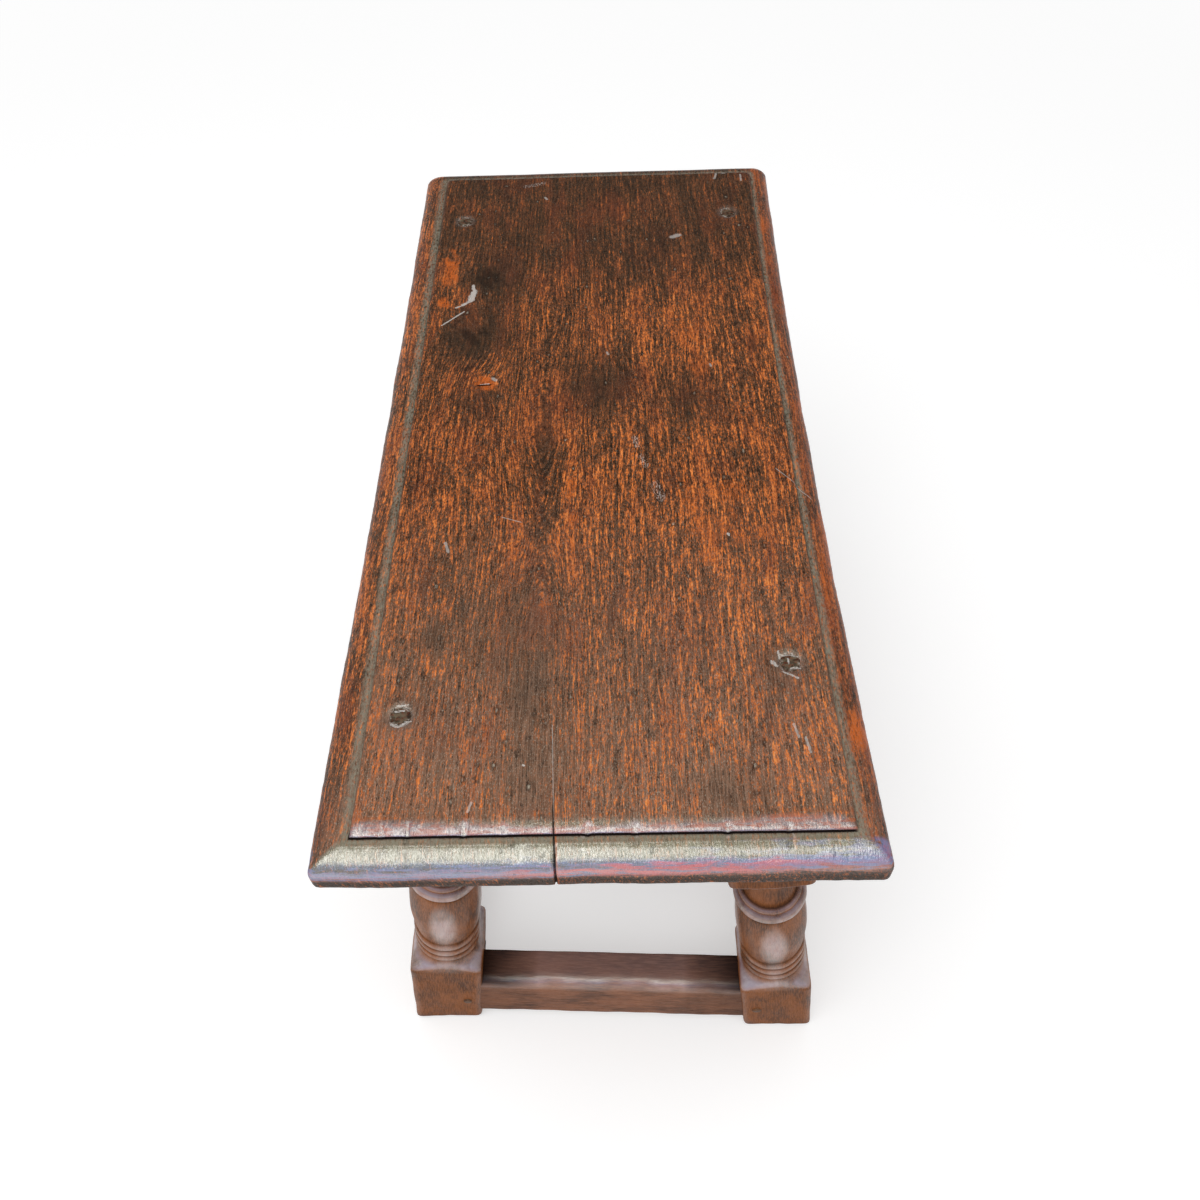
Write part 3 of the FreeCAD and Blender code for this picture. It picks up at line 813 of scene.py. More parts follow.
def pale_marks(start, x, y, wood, torn, specks, grit):
    """All pale marks as one mask, among them painted glints and the painted highlights round the pegs, the
    strongest winning, each kind with its own strength.
    """
    pale = marked(start, x, y, pale_strokes, torn) * (0.5 + grit * 0.6)
    rough = marked(start, x, y, rough_strokes, torn) * specks.between(0.5, 0.62)
    faint = marked(start, x, y, faint_strokes, torn) * 0.5
    ragged = wood.scaled(0.4, 0.4, 0.4).noise(2.0)
    faint = faint.highest(peg_rim_highlights(start, x, y, torn, ragged))
    faint = faint.highest(marked(start, x, y, peg_highlight_strokes, torn * 2.0) * 0.7)
    faint = faint.highest(marked(start, x, y, torn_nicks, torn * 1.6) * 0.3)
    return pale.highest(rough * 0.6).highest(faint)


def crack_marks(x, y, fine):
    """Dark of the crack and the pale lip on its right: bell curves about a straight line on the board,
    thinning away from the front edge."""
    near, far = crack_line[0], crack_line[2]
    slope = float((far[0] - near[0]) / (far[1] - near[1]))
    from_line = x - (y - float(near[1])) * slope - float(near[0]) + (fine - 0.5) * 0.5
    fading = 1.0 - y.between(float(crack_line[1, 1]) - 3, float(far[1]))
    split = (from_line / (fading * 0.3 + 0.12)).bell() * fading.between(0.0, 0.4)
    lip = ((from_line - 0.9) / 0.4).bell() * (fading ** 3) * 0.7
    return split, lip


stroke_sets = (pale_strokes, faint_strokes, rough_strokes, peg_highlight_strokes, torn_nicks, knot_slit)
print("strokes in the shader", sum(len(strokes) for strokes in stroke_sets))

# %% [markdown]
# ## Growth rings
# A board sawn through the heart of a tree shows its rings as lines along the grain that bend round a
# knot and close to points along the heart. Straight noise would look like veneer. So the distance across
# the rings is worked out first, in mm and with the bends in it, and every line of grain is noise over it.

# %% Growth rings
heart_pixel = (541, 530)
knot_pixel = (476, 340)
eye_pixel = (483, 382)
whorl_pixel = (548, 312)
ring_spacing = 4.2


def gathering(start, x, y, pixel, across, along):
    """Soft ellipse in the shader, 1 at a pixel's place: e to the minus squared distance."""
    px, py = on_seat(pixel)
    dx, dy = (x - float(px)) / across, (y - float(py)) / along
    return start.math("EXPONENT", 0.0 - dx * dx - dy * dy)


def bent_rings(start, wood, x, y):
    """Distance in mm across the growth rings: from the heart line, wandering, pushed aside by the knot,
    and opening like an hourglass away from the heart's waist. Also how near the heart line is."""
    heart_x, heart_y = (float(value) for value in on_seat(heart_pixel))
    wander = wood.scaled(0.014, 0.0055, 0.02).noise(2.0) - 0.5
    knot = gathering(start, x, y, knot_pixel, 26.0, 42.0)
    eye = gathering(start, x, y, eye_pixel, 12.0, 18.0)
    aside = x + wander * 16 - knot * 9 + eye * 6 - heart_x
    from_heart = start.math("SQRT", aside * aside + 9.0)
    beyond = start.math("MINIMUM", start.math("ABSOLUTE", y - heart_y), 75.0)
    near_heart = start.math("EXPONENT", aside * aside * (-1 / 26 ** 2))
    opening = start.math("SQRT", beyond * beyond + 300.0) * near_heart * 0.2
    opening = opening + gathering(start, x, y, whorl_pixel, 17.0, 24.0) * 4
    pith = start.math("EXPONENT", aside * aside * (-1 / 5 ** 2))
    return from_heart - opening + (wood.scaled(0.05, 0.012, 0.05).noise(2.0) - 0.5) * 2.5, pith


def painted_glints(start, colour, wood, painted_sheen, specks, beads):
    """Painted glints: pale flecks, each in a small dark hollow: some cells of a Voronoi pattern, picked by
    the cell's own chance, within a distance of the cell's point that fine noise breaks up."""
    cells = start.node("TexVoronoi", {}, {"Vector": wood.scaled(0.16, 0.1, 0.16), "Scale": 1.0})
    chance = cells.also("Color").parts()[0]
    spread_out = cells.also("Distance") + (specks - 0.5) * 0.5 + (beads - 0.5) * 0.4
    chosen = (chance + painted_sheen * 0.06).between(0.68, 0.8)
    painted_glint = (1.0 - spread_out.between(0.09, 0.18)) * chosen
    hollow = (1.0 - spread_out.between(0.2, 0.34)) * chosen
    colour = (hollow * 0.4).over(colour, paint["pit"])
    return (painted_glint * specks.between(0.42, 0.6) * 0.7).over(colour, paint["painted_glint"]), painted_glint


heart_at, eye_at = np.round(on_seat(heart_pixel), 1), np.round(on_seat(eye_pixel), 1)
print("heart of the board at", heart_at, "knot at", eye_at)

# %% [markdown]
# ## Colours of the front edge
# The near edge shows the most wear. Its arris is worn through to fresh oak in places and carries a painted
# lilac highlight, and below it the quarter round runs from a painted blue reflection through a painted
# rose one to painted shade at its foot. Those bands are the sky mirrored in the wax. The mirrored ones
# alone are weaker than in the picture, so thin painted reflections help them, smeared by noise so that no
# band has a clean edge.

# %% Front edge
def front_colours(start, colour, x, y, z, polish, hot):
    """Painted reflections in bands (a lilac highlight on the arris, a blue and a rose band on the round)
    and a painted shade band below them, placed by how far a point has dropped below the top, smeared by a
    slow noise and fading away from the near edge. Also gives where the arris is rubbed off and where the
    edge is shaded."""
    near_edge = 1.0 - y.between(12.0 - half_length, 15.0 - half_length)
    near_arris = 1.0 - y.between(24.0 - half_length, 28.0 - half_length)
    smear = start.joined(x * 0.07, z * 0.7, y * 0.3).noise(3.0, 0.65)
    down = overall_height - z
    drop = down + (smear - 0.5) * 11.0 + x * 0.018
    rosy = (((x - 25.0) / 60.0).bell() + (smear - 0.5) * 1.6).between(0.1, 0.9)

    # Painted lilac highlight on the arris, where it is polished.
    on_arris = down.between(0.2, 0.6) * (1.0 - down.between(1.6, 2.2)) * near_arris
    colour = (on_arris * polish * 0.4).over(colour, paint["lilac_sheen"])
    rubbed_off = on_arris * (1.0 - smear.between(0.42, 0.54))
    colour = (rubbed_off * 0.4).over(colour, paint["fresh"])
    # Painted blue reflection on the upper round.
    blue_reflection = drop.between(4.5, 7.0) * (1.0 - drop.between(9.0, 11.5)) * near_edge
    colour = (blue_reflection * (1.0 - rosy * 0.4) * 0.8).over(colour, paint["blue_reflection"])
    # Painted rose reflection below it, strongest right of the middle.
    rose_reflection = drop.between(6.0, 8.5) * (1.0 - drop.between(11.5, 13.5)) * near_edge
    colour = (rose_reflection * (0.25 + rosy * 0.75) * smear.between(0.38, 0.55)).over(colour, paint["rose_reflection"])
    # Painted shade band at the foot of the round, in the soot colour.
    shaded = drop.between(11.5, 13.5) * near_edge
    colour = (shaded * (1.0 - hot * 0.5) * 0.85).over(colour, paint["soot"])
    return colour, rubbed_off, shaded


print("front edge lies", round(half_length, 1), "mm from the middle")

# %% [markdown]
# ## The seat's finish
# Now the layers go on, one over the other: lit and dark grain, red and sooty stain, fresh wood where it is
# rubbed, a grey painted sheen with painted sparkle, painted glints, dust and painted sheen on the front
# border, the front edge with its painted reflections and painted shade, dirt in the border's hollow, then
# the pale marks with the painted highlights round the pegs, and the crack. The same readings also steer
# roughness, coat and bump, so a dark pore is also rough and low.

# %% Finish of the seat
def seat_oak():
    """Ground with two sizes of line along the bent rings, then stain, wear, dust, flecks and marks."""
    material, start, surface = new_finish("seat_oak")
    wood = start.attribute("stock")
    dirt, polish, bare = start.attribute("finish").parts()
    glow, soot, painted_sheen = start.attribute("tone").parts()
    x, y, z = wood.parts()

    rings, pith = bent_rings(start, wood, x, y)
    band = start.math("SINE", rings * (turn / ring_spacing))
    long_lines = start.joined(rings * 0.55, y * 0.035, x * 0.2 + z * 0.3).noise(2.0, 0.6)
    short_lines = start.joined(rings * 1.1, y * 0.13, x * 0.33 + z * 0.5).noise(2.0, 0.65)
    specks = start.joined(x * 1.7, y * 0.6, z * 1.7).noise(2.0, 0.7)
    beads = start.joined(rings * 0.8, y * 0.34, x * 0.4 + z * 0.5).noise(1.0, 0.5)
    cloud = wood.scaled(0.035, 0.016, 0.03).noise(3.0)
    drift = start.joined(rings * 0.09, y * 0.022, z * 0.1).noise(2.0)
    tone_shift = glow * 0.045 - soot * 0.12 + (drift - 0.5) * 0.2 + band * 0.022 - pith * 0.03
    lively = long_lines * 0.32 + short_lines * 0.46 + specks * 0.38 + beads * 0.24 - 0.7
    lit = lively * (0.78 + cloud * 0.6 + painted_sheen * x * 0.002) * (1.0 - soot * 0.5) + 0.49 + tone_shift

    colour = start.node("ValToRGB", {"stops": lit_stops}, {"Fac": lit}, "Color")
    right_rim = x.between(117.0, 122.0) * short_lines.between(0.35, 0.6)
    reddened = cloud.between(0.5, 0.7) + drift.between(0.5, 0.7) + right_rim * 1.8
    colour = (reddened * 0.3).over(colour, paint["red"])
    colour = (soot * 0.72).over(colour, paint["soot"])
    hot = lit.between(0.54, 0.62)
    rubbed = glow.between(0.6, 1.0) * (0.42 + lit.between(0.42, 0.52) * 0.45)
    colour = rubbed.over(colour, paint["fresh"])
    # Painted sheen: a patchy grey over the near end, kept off the brightest grain.
    mist = start.joined(x * 1.6, y * 0.06, z).noise(2.0)
    front_sheen = painted_sheen * (0.22 + mist.between(0.38, 0.66) * 0.4) * (1.0 - hot * 0.8)
    colour = front_sheen.over(colour, paint["painted_sheen_grey"])
    # Painted highlights: fine pale sparkle, most on the near end and least on soot.
    sparkle = start.joined(x * 2.4, y * 0.9, z * 2.4).noise(1.0, 0.8).between(0.57, 0.68)
    colour = (sparkle * (0.2 + painted_sheen * 0.25) * (1.0 - soot * 0.6)).over(colour, paint["painted_glint"])
    pit = (1.0 - (specks * 0.5 + short_lines * 0.5).between(0.34, 0.43)) * (1.0 - dirt)
    colour = (pit * 0.7).over(colour, paint["pit"])

    # Painted glints: pale flecks in small dark pits.
    colour, painted_glint = painted_glints(start, colour, wood, painted_sheen, specks, beads)
    colour = (polish * 0.75 * (1.0 - hot * 0.35)).over(colour, paint["soot"])
    grit = wood.scaled(0.8, 0.4, 0.8).noise(3.0, 0.7)
    # On the seat the bare column holds the dust and painted sheen of the front border, broken up by grit.
    colour = (bare * (0.45 + grit * 0.7)).over(colour, paint["dust_and_sheen"])
    colour, rubbed_off, shaded = front_colours(start, colour, x, y, z, polish, hot)
    colour = (dirt * grit.between(0.3, 0.62)).over(colour, paint["dust"])

    torn = (specks - 0.5) * 1.6 + (grit - 0.5) * 1.4
    pale = pale_marks(start, x, y, wood, torn, specks, grit)
    # Pale marks, among them painted glints and the painted highlights round the pegs.
    colour = pale.over(colour, paint["bare"])
    split, lip = crack_marks(x, y, specks)
    colour = lip.over(colour, paint["fresh"])
    # Nearly black where the soot is darkest, which includes the painted shade line under the front arris.
    split = split.highest(marked(start, x, y, knot_slit, torn * 0.5)).highest(soot.between(0.82, 1.0))
    colour = split.over(colour, paint["split"])

    roughness = 0.36 + pit * 0.25 + dirt * 0.4 + pale * 0.3 + (cloud - 0.5) * 0.15
    coat = (0.04 + cloud * 0.06 + painted_sheen * 0.12) * (1.0 - dirt) * (1.0 - pit * 0.5) * (1.0 - split)
    grain = lit * 2.0 + short_lines * 0.8 + specks * 0.8
    end_grain = start.joined(x * 0.9, y * 0.15, z * 0.15).noise(3.0, 0.6)
    height = grain * (1.0 - polish * 0.8) + end_grain * polish * 2.2 - pit * 0.3 - painted_glint * 0.8
    height = height + grit * dirt - split * 2.0
    bump = dress(start, surface, colour, roughness, coat, height, relief=0.4, gloss=0.05)
    share = polish * (1.0 - dirt) * (1.0 - split) * (1.0 - rubbed_off * 0.55) * (1.0 - shaded * 0.5)
    waxed(start, surface, share, colour, bump, 0.17 + pit * 0.15, coat=1.0, coat_roughness=0.13)
    return material


# %% [markdown]
# ## The seat board
# All the parts are ready, so the board is one call: the grid of the field, the rings of the border that
# begin on the field's edge, and an underside that draws in to a closed middle.

# %% Seat board
underside_shares = (0.985, 0.93, 0.8, 0.5, 0.2)


def seat_skin():
    """Closed skin of the board, as points and faces: field quads, border bands, rings in to the middle."""
    across, along = lines_across, lines_along
    number = np.arange(across * along).reshape(along, across)
    quads = np.stack([number[:-1, :-1], number[:-1, 1:], number[1:, 1:], number[1:, :-1]], -1)
    first_ring = np.concatenate([number[0, :-1], number[:-1, -1], number[-1, :0:-1], number[:0:-1, 0]])
    border = rim_points[1:]
    below = np.stack([np.concatenate([border[-1, :, :2] * share, border[-1, :, 2:]], -1)
                      for share in underside_shares])
    below[..., stock] = below[..., place]
    rings = np.concatenate([border, below])
    count, around, columns = rings.shape
    ring_numbers = across * along + np.arange(count * around).reshape(count, around)
    pole = across * along + count * around
    pole_point = rings[-1:].mean(1)
    points = np.concatenate([field_points.reshape(-1, columns), rings.reshape(-1, columns), pole_point])
    inwards = np.vstack([first_ring, ring_numbers])[::-1]
    faces = quads.reshape(-1, 4).tolist() + bands(inwards) + fan(ring_numbers[-1][::-1], pole)
    return points, faces


seat_points, seat_faces = seat_skin()
make_piece("worn_seat_board", seat_points, seat_faces, seat_oak(), "seat_oak", "seat_board")

# %% [markdown]
# ## Turned legs
# Each leg is square oak, turned on a lathe between two square blocks: a hollow shoulder, three reeds, a
# swelling belly, a ring, and a short neck. A lathe outline spun round and cut by four flats would do, but
# here both are one formula: at every height and angle the surface lies at the smaller of the lathe's
# radius and the square's, with a soft change-over where hands and feet have rubbed the arris.

# %% Sizes of the legs
splay = np.radians(6.5)
slant = 1 / np.cos(splay)
half_stock = 24.5
foot_axis = 121.42
leg_station = 230.5
rack_shift = 4.5
lower_mark = 91.0 * slant
upper_mark = 262.0 * slant
mark_drift = {"front_left": 9.0, "front_right": -9.0, "back_left": 0.0, "back_right": 0.0}
block_radius = 49.0
arris_power = 17.0
foot_round = 6.0
shoulder_radius, reed_radius, reed_height, neck_radius = 21.5, 20.2, 2.2, 19.0


def lathe_outline(s, drift):
    """Radius of the turning at heights s along a leg. Runs follow one another upwards: hollows are
    powers of the way along, reeds and ring are half sine waves, belly and neck are parabolas."""
    shoulder = lower_mark + drift - 7.0
    reeds = lower_mark + drift + 9.0
    belly = reeds + 30.0
    head = upper_mark + drift
    spare = head - 7.0 - belly - 11.5
    ring = belly + spare * 0.62
    neck = ring + 11.5
    neck_top = head - 7.0

    def swell(t, first, crest, last, at):
        """Two half parabolas that meet level at a crest, a share of the way along."""
        low = crest - (crest - first) * (1 - t / at) ** 2
        high = crest - (crest - last) * ((t - at) / (1 - at)) ** 2
        return np.where(t < at, low, high)

    runs = [
        (shoulder, reeds, lambda t: shoulder_radius + (block_radius - shoulder_radius) * (1 - t) ** 2.18),
        (reeds, belly, lambda t: reed_radius + reed_height * np.sqrt(np.abs(np.sin(3 * np.pi * t)))),
        (belly, ring, lambda t: swell(t, 21.0, 23.2, 19.6, 0.46)),
        (ring, ring + 8.5, lambda t: 19.8 + 2.8 * np.sqrt(np.abs(np.sin(np.pi * t)))),
        (ring + 8.5, neck, lambda t: 19.4 + 0 * t),
        (neck, neck_top, lambda t: swell(t, 16.8, 14.6, neck_radius, 0.42)),
        (neck_top, head + 5.0, lambda t: neck_radius + (block_radius - neck_radius) * t ** 1.74),
    ]
    radius = np.full_like(s, block_radius)
    for start_at, end_at, shape in runs:
        along = (s - start_at) / (end_at - start_at)
        here = (along >= 0) & (along < 1)
        radius[here] = shape(along[here])
    return radius, shoulder, head + 5.0


def softened(values, spacing, reach):
    """Values on an even line, averaged over a bell of a given reach, as wear does to an outline."""
    half = int(np.ceil(3 * reach / spacing))
    weights = np.exp(-(np.arange(-half, half + 1) * spacing / reach) ** 2)
    padded = np.pad(values, half, mode="edge")
    return np.convolve(padded, weights / weights.sum(), mode="valid")


print("turned length", round(upper_mark - lower_mark, 1), "mm between the marks")

# %% [markdown]
# ## The skin of a leg
# The leg leans outwards, so it is drawn upright and then leaned, and its two ends are cut level: each
# upright line of points starts at the height where it meets the floor. The foot's lower arris is worn
# round, because the stool has been dragged about on it.

# %% Leg surface
leg_around = 120
foot_rows, turned_rows, head_rows = 34, 190, 18
line_spacing = 0.4
wood_shift = 70.0


def lean_place(side, end, across, along, s):
    """Points given across, along the stool and up a leg, leaned and set at the leg's foot."""
    x = side * foot_axis + across * np.cos(splay) - side * s * np.sin(splay)
    y = end * leg_station - side * rack_shift + along
    z = side * across * np.sin(splay) + s * np.cos(splay)
    return np.stack(np.broadcast_arrays(x, y, z), -1)


def square_radius(angle):
    """Radius of a square with eased corners: half the stock over the root of the sum of two powers, of
    the cosine and of the sine."""
    power_sum = np.abs(np.cos(angle)) ** arris_power + np.abs(np.sin(angle)) ** arris_power
    return half_stock / power_sum ** (1 / arris_power)


def leg_heights(side, square, cosine, block_top, block_foot):
    """Height along the leg of every point, and of the floor under it: each upright line runs from where
    it meets the floor, closer together at the foot, to where it meets the seat."""
    floor_s = -side * square * cosine * np.tan(splay)
    seat_s = (underside - side * square * cosine * np.sin(splay)) / np.cos(splay)
    rise = np.linspace(0, 1, foot_rows)[:, None] ** 2
    foot_part = floor_s + (block_top - floor_s) * rise
    turned_part = np.linspace(block_top, block_foot, turned_rows)[1:, None] + 0 * square
    head_part = block_foot + (seat_s - block_foot) * np.linspace(0, 1, head_rows)[1:, None]
    return np.concatenate([foot_part, turned_part, head_part]), floor_s


def leg_radius(lathe, square, s, floor_s, block_top):
    """The smaller of the lathe's and the square's radius, joined softly by the logarithm of a sum of
    exponentials, with what that takes off the plain block given back, less a round at the foot."""
    blend = np.where(s < block_top + 20, 3.0, 1.2)
    radius = np.minimum(lathe, square) - blend * np.log1p(np.exp(-np.abs(lathe - square) / blend))
    radius = radius + blend * np.log1p(np.exp(-np.abs(block_radius - square) / blend))
    above = np.clip(foot_round - (s - floor_s), 0, foot_round)
    return radius - (foot_round - np.sqrt(foot_round ** 2 - above ** 2)) * 0.75


def leg_rings(name, seed):
    """Rings of a leg from the floor to the seat, with dirt in the hollows, polish on the crests, a painted
    gold highlight on the reeds and a painted bluish sheen on the steep shoulders.
    """
    side, end = corners[name]
    line = np.arange(0, 400, line_spacing)
    raw, block_top, block_foot = lathe_outline(line, mark_drift[name])
    worn = softened(raw, line_spacing, 0.7)
    broad = softened(np.minimum(raw, 26.0), line_spacing, 4.0)
    angle = np.linspace(0, turn, leg_around, endpoint=False) + turn / 8
    square = square_radius(angle)[None, :]
    cosine, sine = np.cos(angle)[None, :], np.sin(angle)[None, :]
    s, floor_s = leg_heights(side, square, cosine, block_top, block_foot)
    lathe = np.interp(s, line, worn)
    radius = leg_radius(lathe, square, s, floor_s, block_top)
    across, along = radius * cosine, radius * sine
    slow_wear = 0.25 * (1 + ripple(45, seed, across, along, s))
    quick_wear = 0.1 * (1 + ripple(8, seed + 1, across, along, s * 0.5))
    radius = radius - slow_wear - quick_wear
    across, along = radius * cosine, radius * sine
    places = lean_place(side, end, across, along, s)
    places[..., 2] = np.clip(places[..., 2], 0, underside)

    lift = np.clip((np.interp(s, line, worn) - np.interp(s, line, broad)), -2, 2)
    turned = (s > block_top) & (s < block_foot) & (lathe < square)
    cove = np.exp(-((s - block_top - 10) / 8) ** 2) * (s > block_top)
    groove = np.where(turned, np.clip(-lift / 1.2, 0, 1) * (1 - cove), 0)
    crest = np.where(turned, np.clip(0.34 + lift / 1.7, 0, 1), 0.12)
    crest = np.maximum(crest, 0.6 * cove)
    steepness = np.interp(s, line, -np.gradient(worn, line_spacing))
    # Painted bluish sheen on the steep shoulders, away from the square blocks.
    shoulder_sheen = np.clip(steepness * 0.9, 0, 1) ** 3 / (1 + np.exp((lathe - square) / 0.8))
    corner = 0.35 * np.clip((square - half_stock - 4.5) / 4, 0, 1) * (lathe > square)
    corner = np.maximum(corner, np.exp(-((lathe - square) / 4) ** 2) * (s < block_foot))
    foot_bare = np.clip(1 - (s - floor_s) / 9, 0, 1)
    # Painted gold highlight on the crests of the reeds.
    reed_highlight = np.where((s > block_top + 16) & (s < block_top + 46), crest, 0)
    wood = np.stack([across + wood_shift * seed, s, along], -1)
    return columns_of(places, wood, groove, np.maximum(crest, corner), foot_bare, reed_highlight, 0.0, shoulder_sheen)


print("points of a leg", leg_around * (foot_rows + turned_rows + head_rows - 2))

# %% [markdown]
# ## Oak of the frame
# The frame was cut from plainer, straighter oak than the board and has a softer shine: brown, with a
# painted lilac sheen where it is polished most, nearly black in the grooves, a painted gold highlight on
# the reeds and a painted bluish sheen on the shoulders. One function makes the finish for legs, rails,
# stretchers and small pegs, each with its own colours.

# %% Finish of the frame
def frame_oak(name, deep, mid, rubbed, worn_end, figure=1.0):
    """Straight-grained oak: fine lines along the stock, cloudy stain, dark grooves, rubbed crests, a
    painted lilac sheen on the most polished crests, a painted gold highlight on the reeds and a painted
    bluish sheen on the shoulders.
    """
    material, start, surface = new_finish(name)
    wood = start.attribute("stock")
    dirt, polish, bare = start.attribute("finish").parts()
    x, y, z = wood.parts()
    wander = wood.scaled(0.03, 0.008, 0.03).noise(2.0) - 0.5
    bent = x + wander * 7
    rings = start.joined(bent * 0.3, y * 0.012, z * 0.3).noise(2.0, 0.6)
    band = start.math("SINE", rings * 60.0) * 0.5 + 0.5
    lines = start.joined(bent * 1.5, y * 0.09, z * 1.5).noise(2.0, 0.65)
    fine = start.joined(bent * 3.5, y * 0.25, z * 3.5).noise(1.0, 0.6)
    cloud = wood.scaled(0.06, 0.03, 0.06).noise(3.0)
    colour = (cloud.between(0.3, 0.7)).over(deep, mid)
    streak = (lines + band * 0.08).between(0.48, 0.64)
    colour = (streak * (0.35 + cloud * 0.3) * figure).over(colour, rubbed)
    colour = (polish * 0.35 * cloud.between(0.3, 0.6)).over(colour, rubbed)
    # Painted lilac sheen on the most polished crests.
    colour = (polish.between(0.5, 1.0) * cloud.between(0.35, 0.6) * 0.2).over(colour, paint["lilac_sheen"])
    pore = 1.0 - fine.between(0.33, 0.46)
    colour = (pore * 0.32).over(colour, deep)
    colour = (dirt * 0.98).over(colour, paint["split"])
    colour = (bare * (0.3 + lines * 0.5)).over(colour, worn_end)
    reed_highlight, _, shoulder_sheen = start.attribute("tone").parts()
    # Painted gold highlight on the reeds.
    colour = (reed_highlight.between(0.5, 1.0) * 0.45).over(colour, paint["gold_highlight"])
    hewn = wood.scaled(0.3, 0.07, 0.3).noise(2.0)
    # Painted bluish sheen on the shoulders, in the shoulder colour, kept out of the dirty grooves.
    colour = (shoulder_sheen * cloud.between(0.25, 0.65) * (1.0 - dirt) * 0.5).over(colour, paint["shoulder"])
    roughness = 0.44 + pore * 0.2 + dirt * 0.2 - polish * 0.1 + bare * 0.15 + (cloud - 0.5) * 0.2
    coat = (0.03 + polish * 0.1) * (1.0 - dirt * 0.5) * (1.0 - pore * 0.5)
    height = lines * 0.4 + fine * 0.35 + cloud * 0.6 + hewn * 2.2
    bump = dress(start, surface, colour, roughness, coat, height, relief=0.25, gloss=0.03)
    share = polish.between(0.15, 1.0) * (1.0 - dirt) * (0.35 + hewn)
    waxed(start, surface, share, colour, bump, 0.32 + pore * 0.2, coat=0.4, coat_roughness=0.3)
    return material


leg_finish = frame_oak("leg_oak", pigment(82, 49, 27), pigment(140, 83, 43), pigment(170, 104, 58),
                       pigment(92, 60, 40))
for number, name in enumerate(corners):
    points, faces = skin(leg_rings(name, 40 + 3 * number))
    make_piece("worn_leg_" + name, points, faces, leg_finish, "leg_oak", "leg_" + name)

# %% [markdown]
# ## Boards with worn arrises
# Rails and stretchers are plain boards tenoned into the legs. A cube with a bevel looks new. Here the
# board's section is a rectangle whose corners are pulled onto arcs, and the arc's radius changes along
# the board: it is small under the seat and large on top of the end stretchers, where feet have rested.

# %% Worn boards
edge_points = 18
board_stations = 90
bury = 2.5
bead_height, bead_half_width, bead_depth = 8.0, 1.1, 1.5
rough_reach = 6
setback = 2.0


def board_section():
    """Shares across and up round a rectangle, closer together near its corners by a half cosine."""
    t = (1 - np.cos(np.linspace(0, np.pi, edge_points, endpoint=False))) / 2
    across = np.concatenate([t, np.ones(edge_points), 1 - t, np.zeros(edge_points)])
    up = np.concatenate([np.zeros(edge_points), t, np.ones(edge_points), 1 - t])
    return across, up


def eased(across, up, width, height, radii):
    """Pulls every point past a corner's arc back onto it. radii are for (outer, top) corners."""
    for (outer, top), radius in radii.items():
        centre_a = width - radius if outer else radius
        centre_u = height - radius if top else radius
        da = (across - centre_a) * (1 if outer else -1)
        du = (up - centre_u) * (1 if top else -1)
        past = (da > 0) & (du > 0)
        pull = np.where(past, radius / np.maximum(np.hypot(da, du), radius), 1)
        across = np.where(past, centre_a + da * pull * (1 if outer else -1), across)
        up = np.where(past, centre_u + du * pull * (1 if top else -1), up)
    return across, up


def board_rings(length, width, height, radii, bead, seed):
    """Sections along a board drawn square: lengthwise, across from the inner face, and up."""
    along = np.linspace(-1, 1, board_stations)[:, None] * length / 2
    across, up = board_section()
    across = across[None, :] * width + 0 * along
    up = up[None, :] * height + 0 * along
    outer_face = across > width - 0.01
    if bead:
        cut = bead_depth * np.exp(-((up - bead_height) / bead_half_width) ** 2)
        across = np.where(outer_face, across - cut, across)
    rounds = {corner: radius(along) for corner, radius in radii.items()}
    across, up = eased(across, up, width, height, rounds)
    slow_wear = 0.2 * (1 + ripple(55, seed, along, across, up))
    rough = slow_wear + 0.07 * (1 + ripple(9, seed + 1, along * 0.4, across, up))
    out_a, out_u = across - width / 2, up - height / 2
    across = across - np.sign(out_a) * rough * (np.abs(out_a) > width / 2 - rough_reach)
    up = up - np.sign(out_u) * rough * (np.abs(out_u) > height / 2 - rough_reach)
    return along, across, up


def steady(radius):
    """A corner radius that stays about the same, with a little unevenness."""
    return lambda along: radius * (1 + 0.15 * np.sin(along / 17.0) + 0.1 * np.sin(along / 5.3))


def footworn(along):
    """Corner radius where feet have rested: large and wavy in the middle of the board."""
    return 8.0 + 0.9 * np.sin(along / 13.0) + 0.6 * np.sin(along / 5.1 + 1) + 1.0 * np.cos(along / 60.0)


outer_top, outer_low, inner_top, inner_low = (1, 1), (1, 0), (0, 1), (0, 0)
rail_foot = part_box("end_rail_front")[0][2] / mm
bar_foot, bar_top = (corner[2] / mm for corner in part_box("end_stretcher_front"))
rail_thickness, bar_thickness = 26.0, 25.0
rail_radii = {outer_top: steady(1.0), outer_low: steady(2.6),
              inner_top: steady(1.0), inner_low: steady(1.6)}
side_bar_radii = {outer_top: steady(3.4), outer_low: steady(2.4),
                  inner_top: steady(2.6), inner_low: steady(2.0)}
end_bar_radii = {outer_top: footworn, outer_low: steady(3.2),
                 inner_top: steady(2.4), inner_low: steady(2.2)}
print("rails start", round(rail_foot, 1), "mm above the floor, stretchers", round(bar_foot, 1))

# %% [markdown]
# ## Rails and stretchers
# Boards across the ends stand upright between legs that lean, so they are stretched at each height.
# Boards along the sides lean with the legs, and the rails among them are cut level under the seat. All
# get dirt where they meet the legs and polish on the outer upper arris, most on the end stretchers.

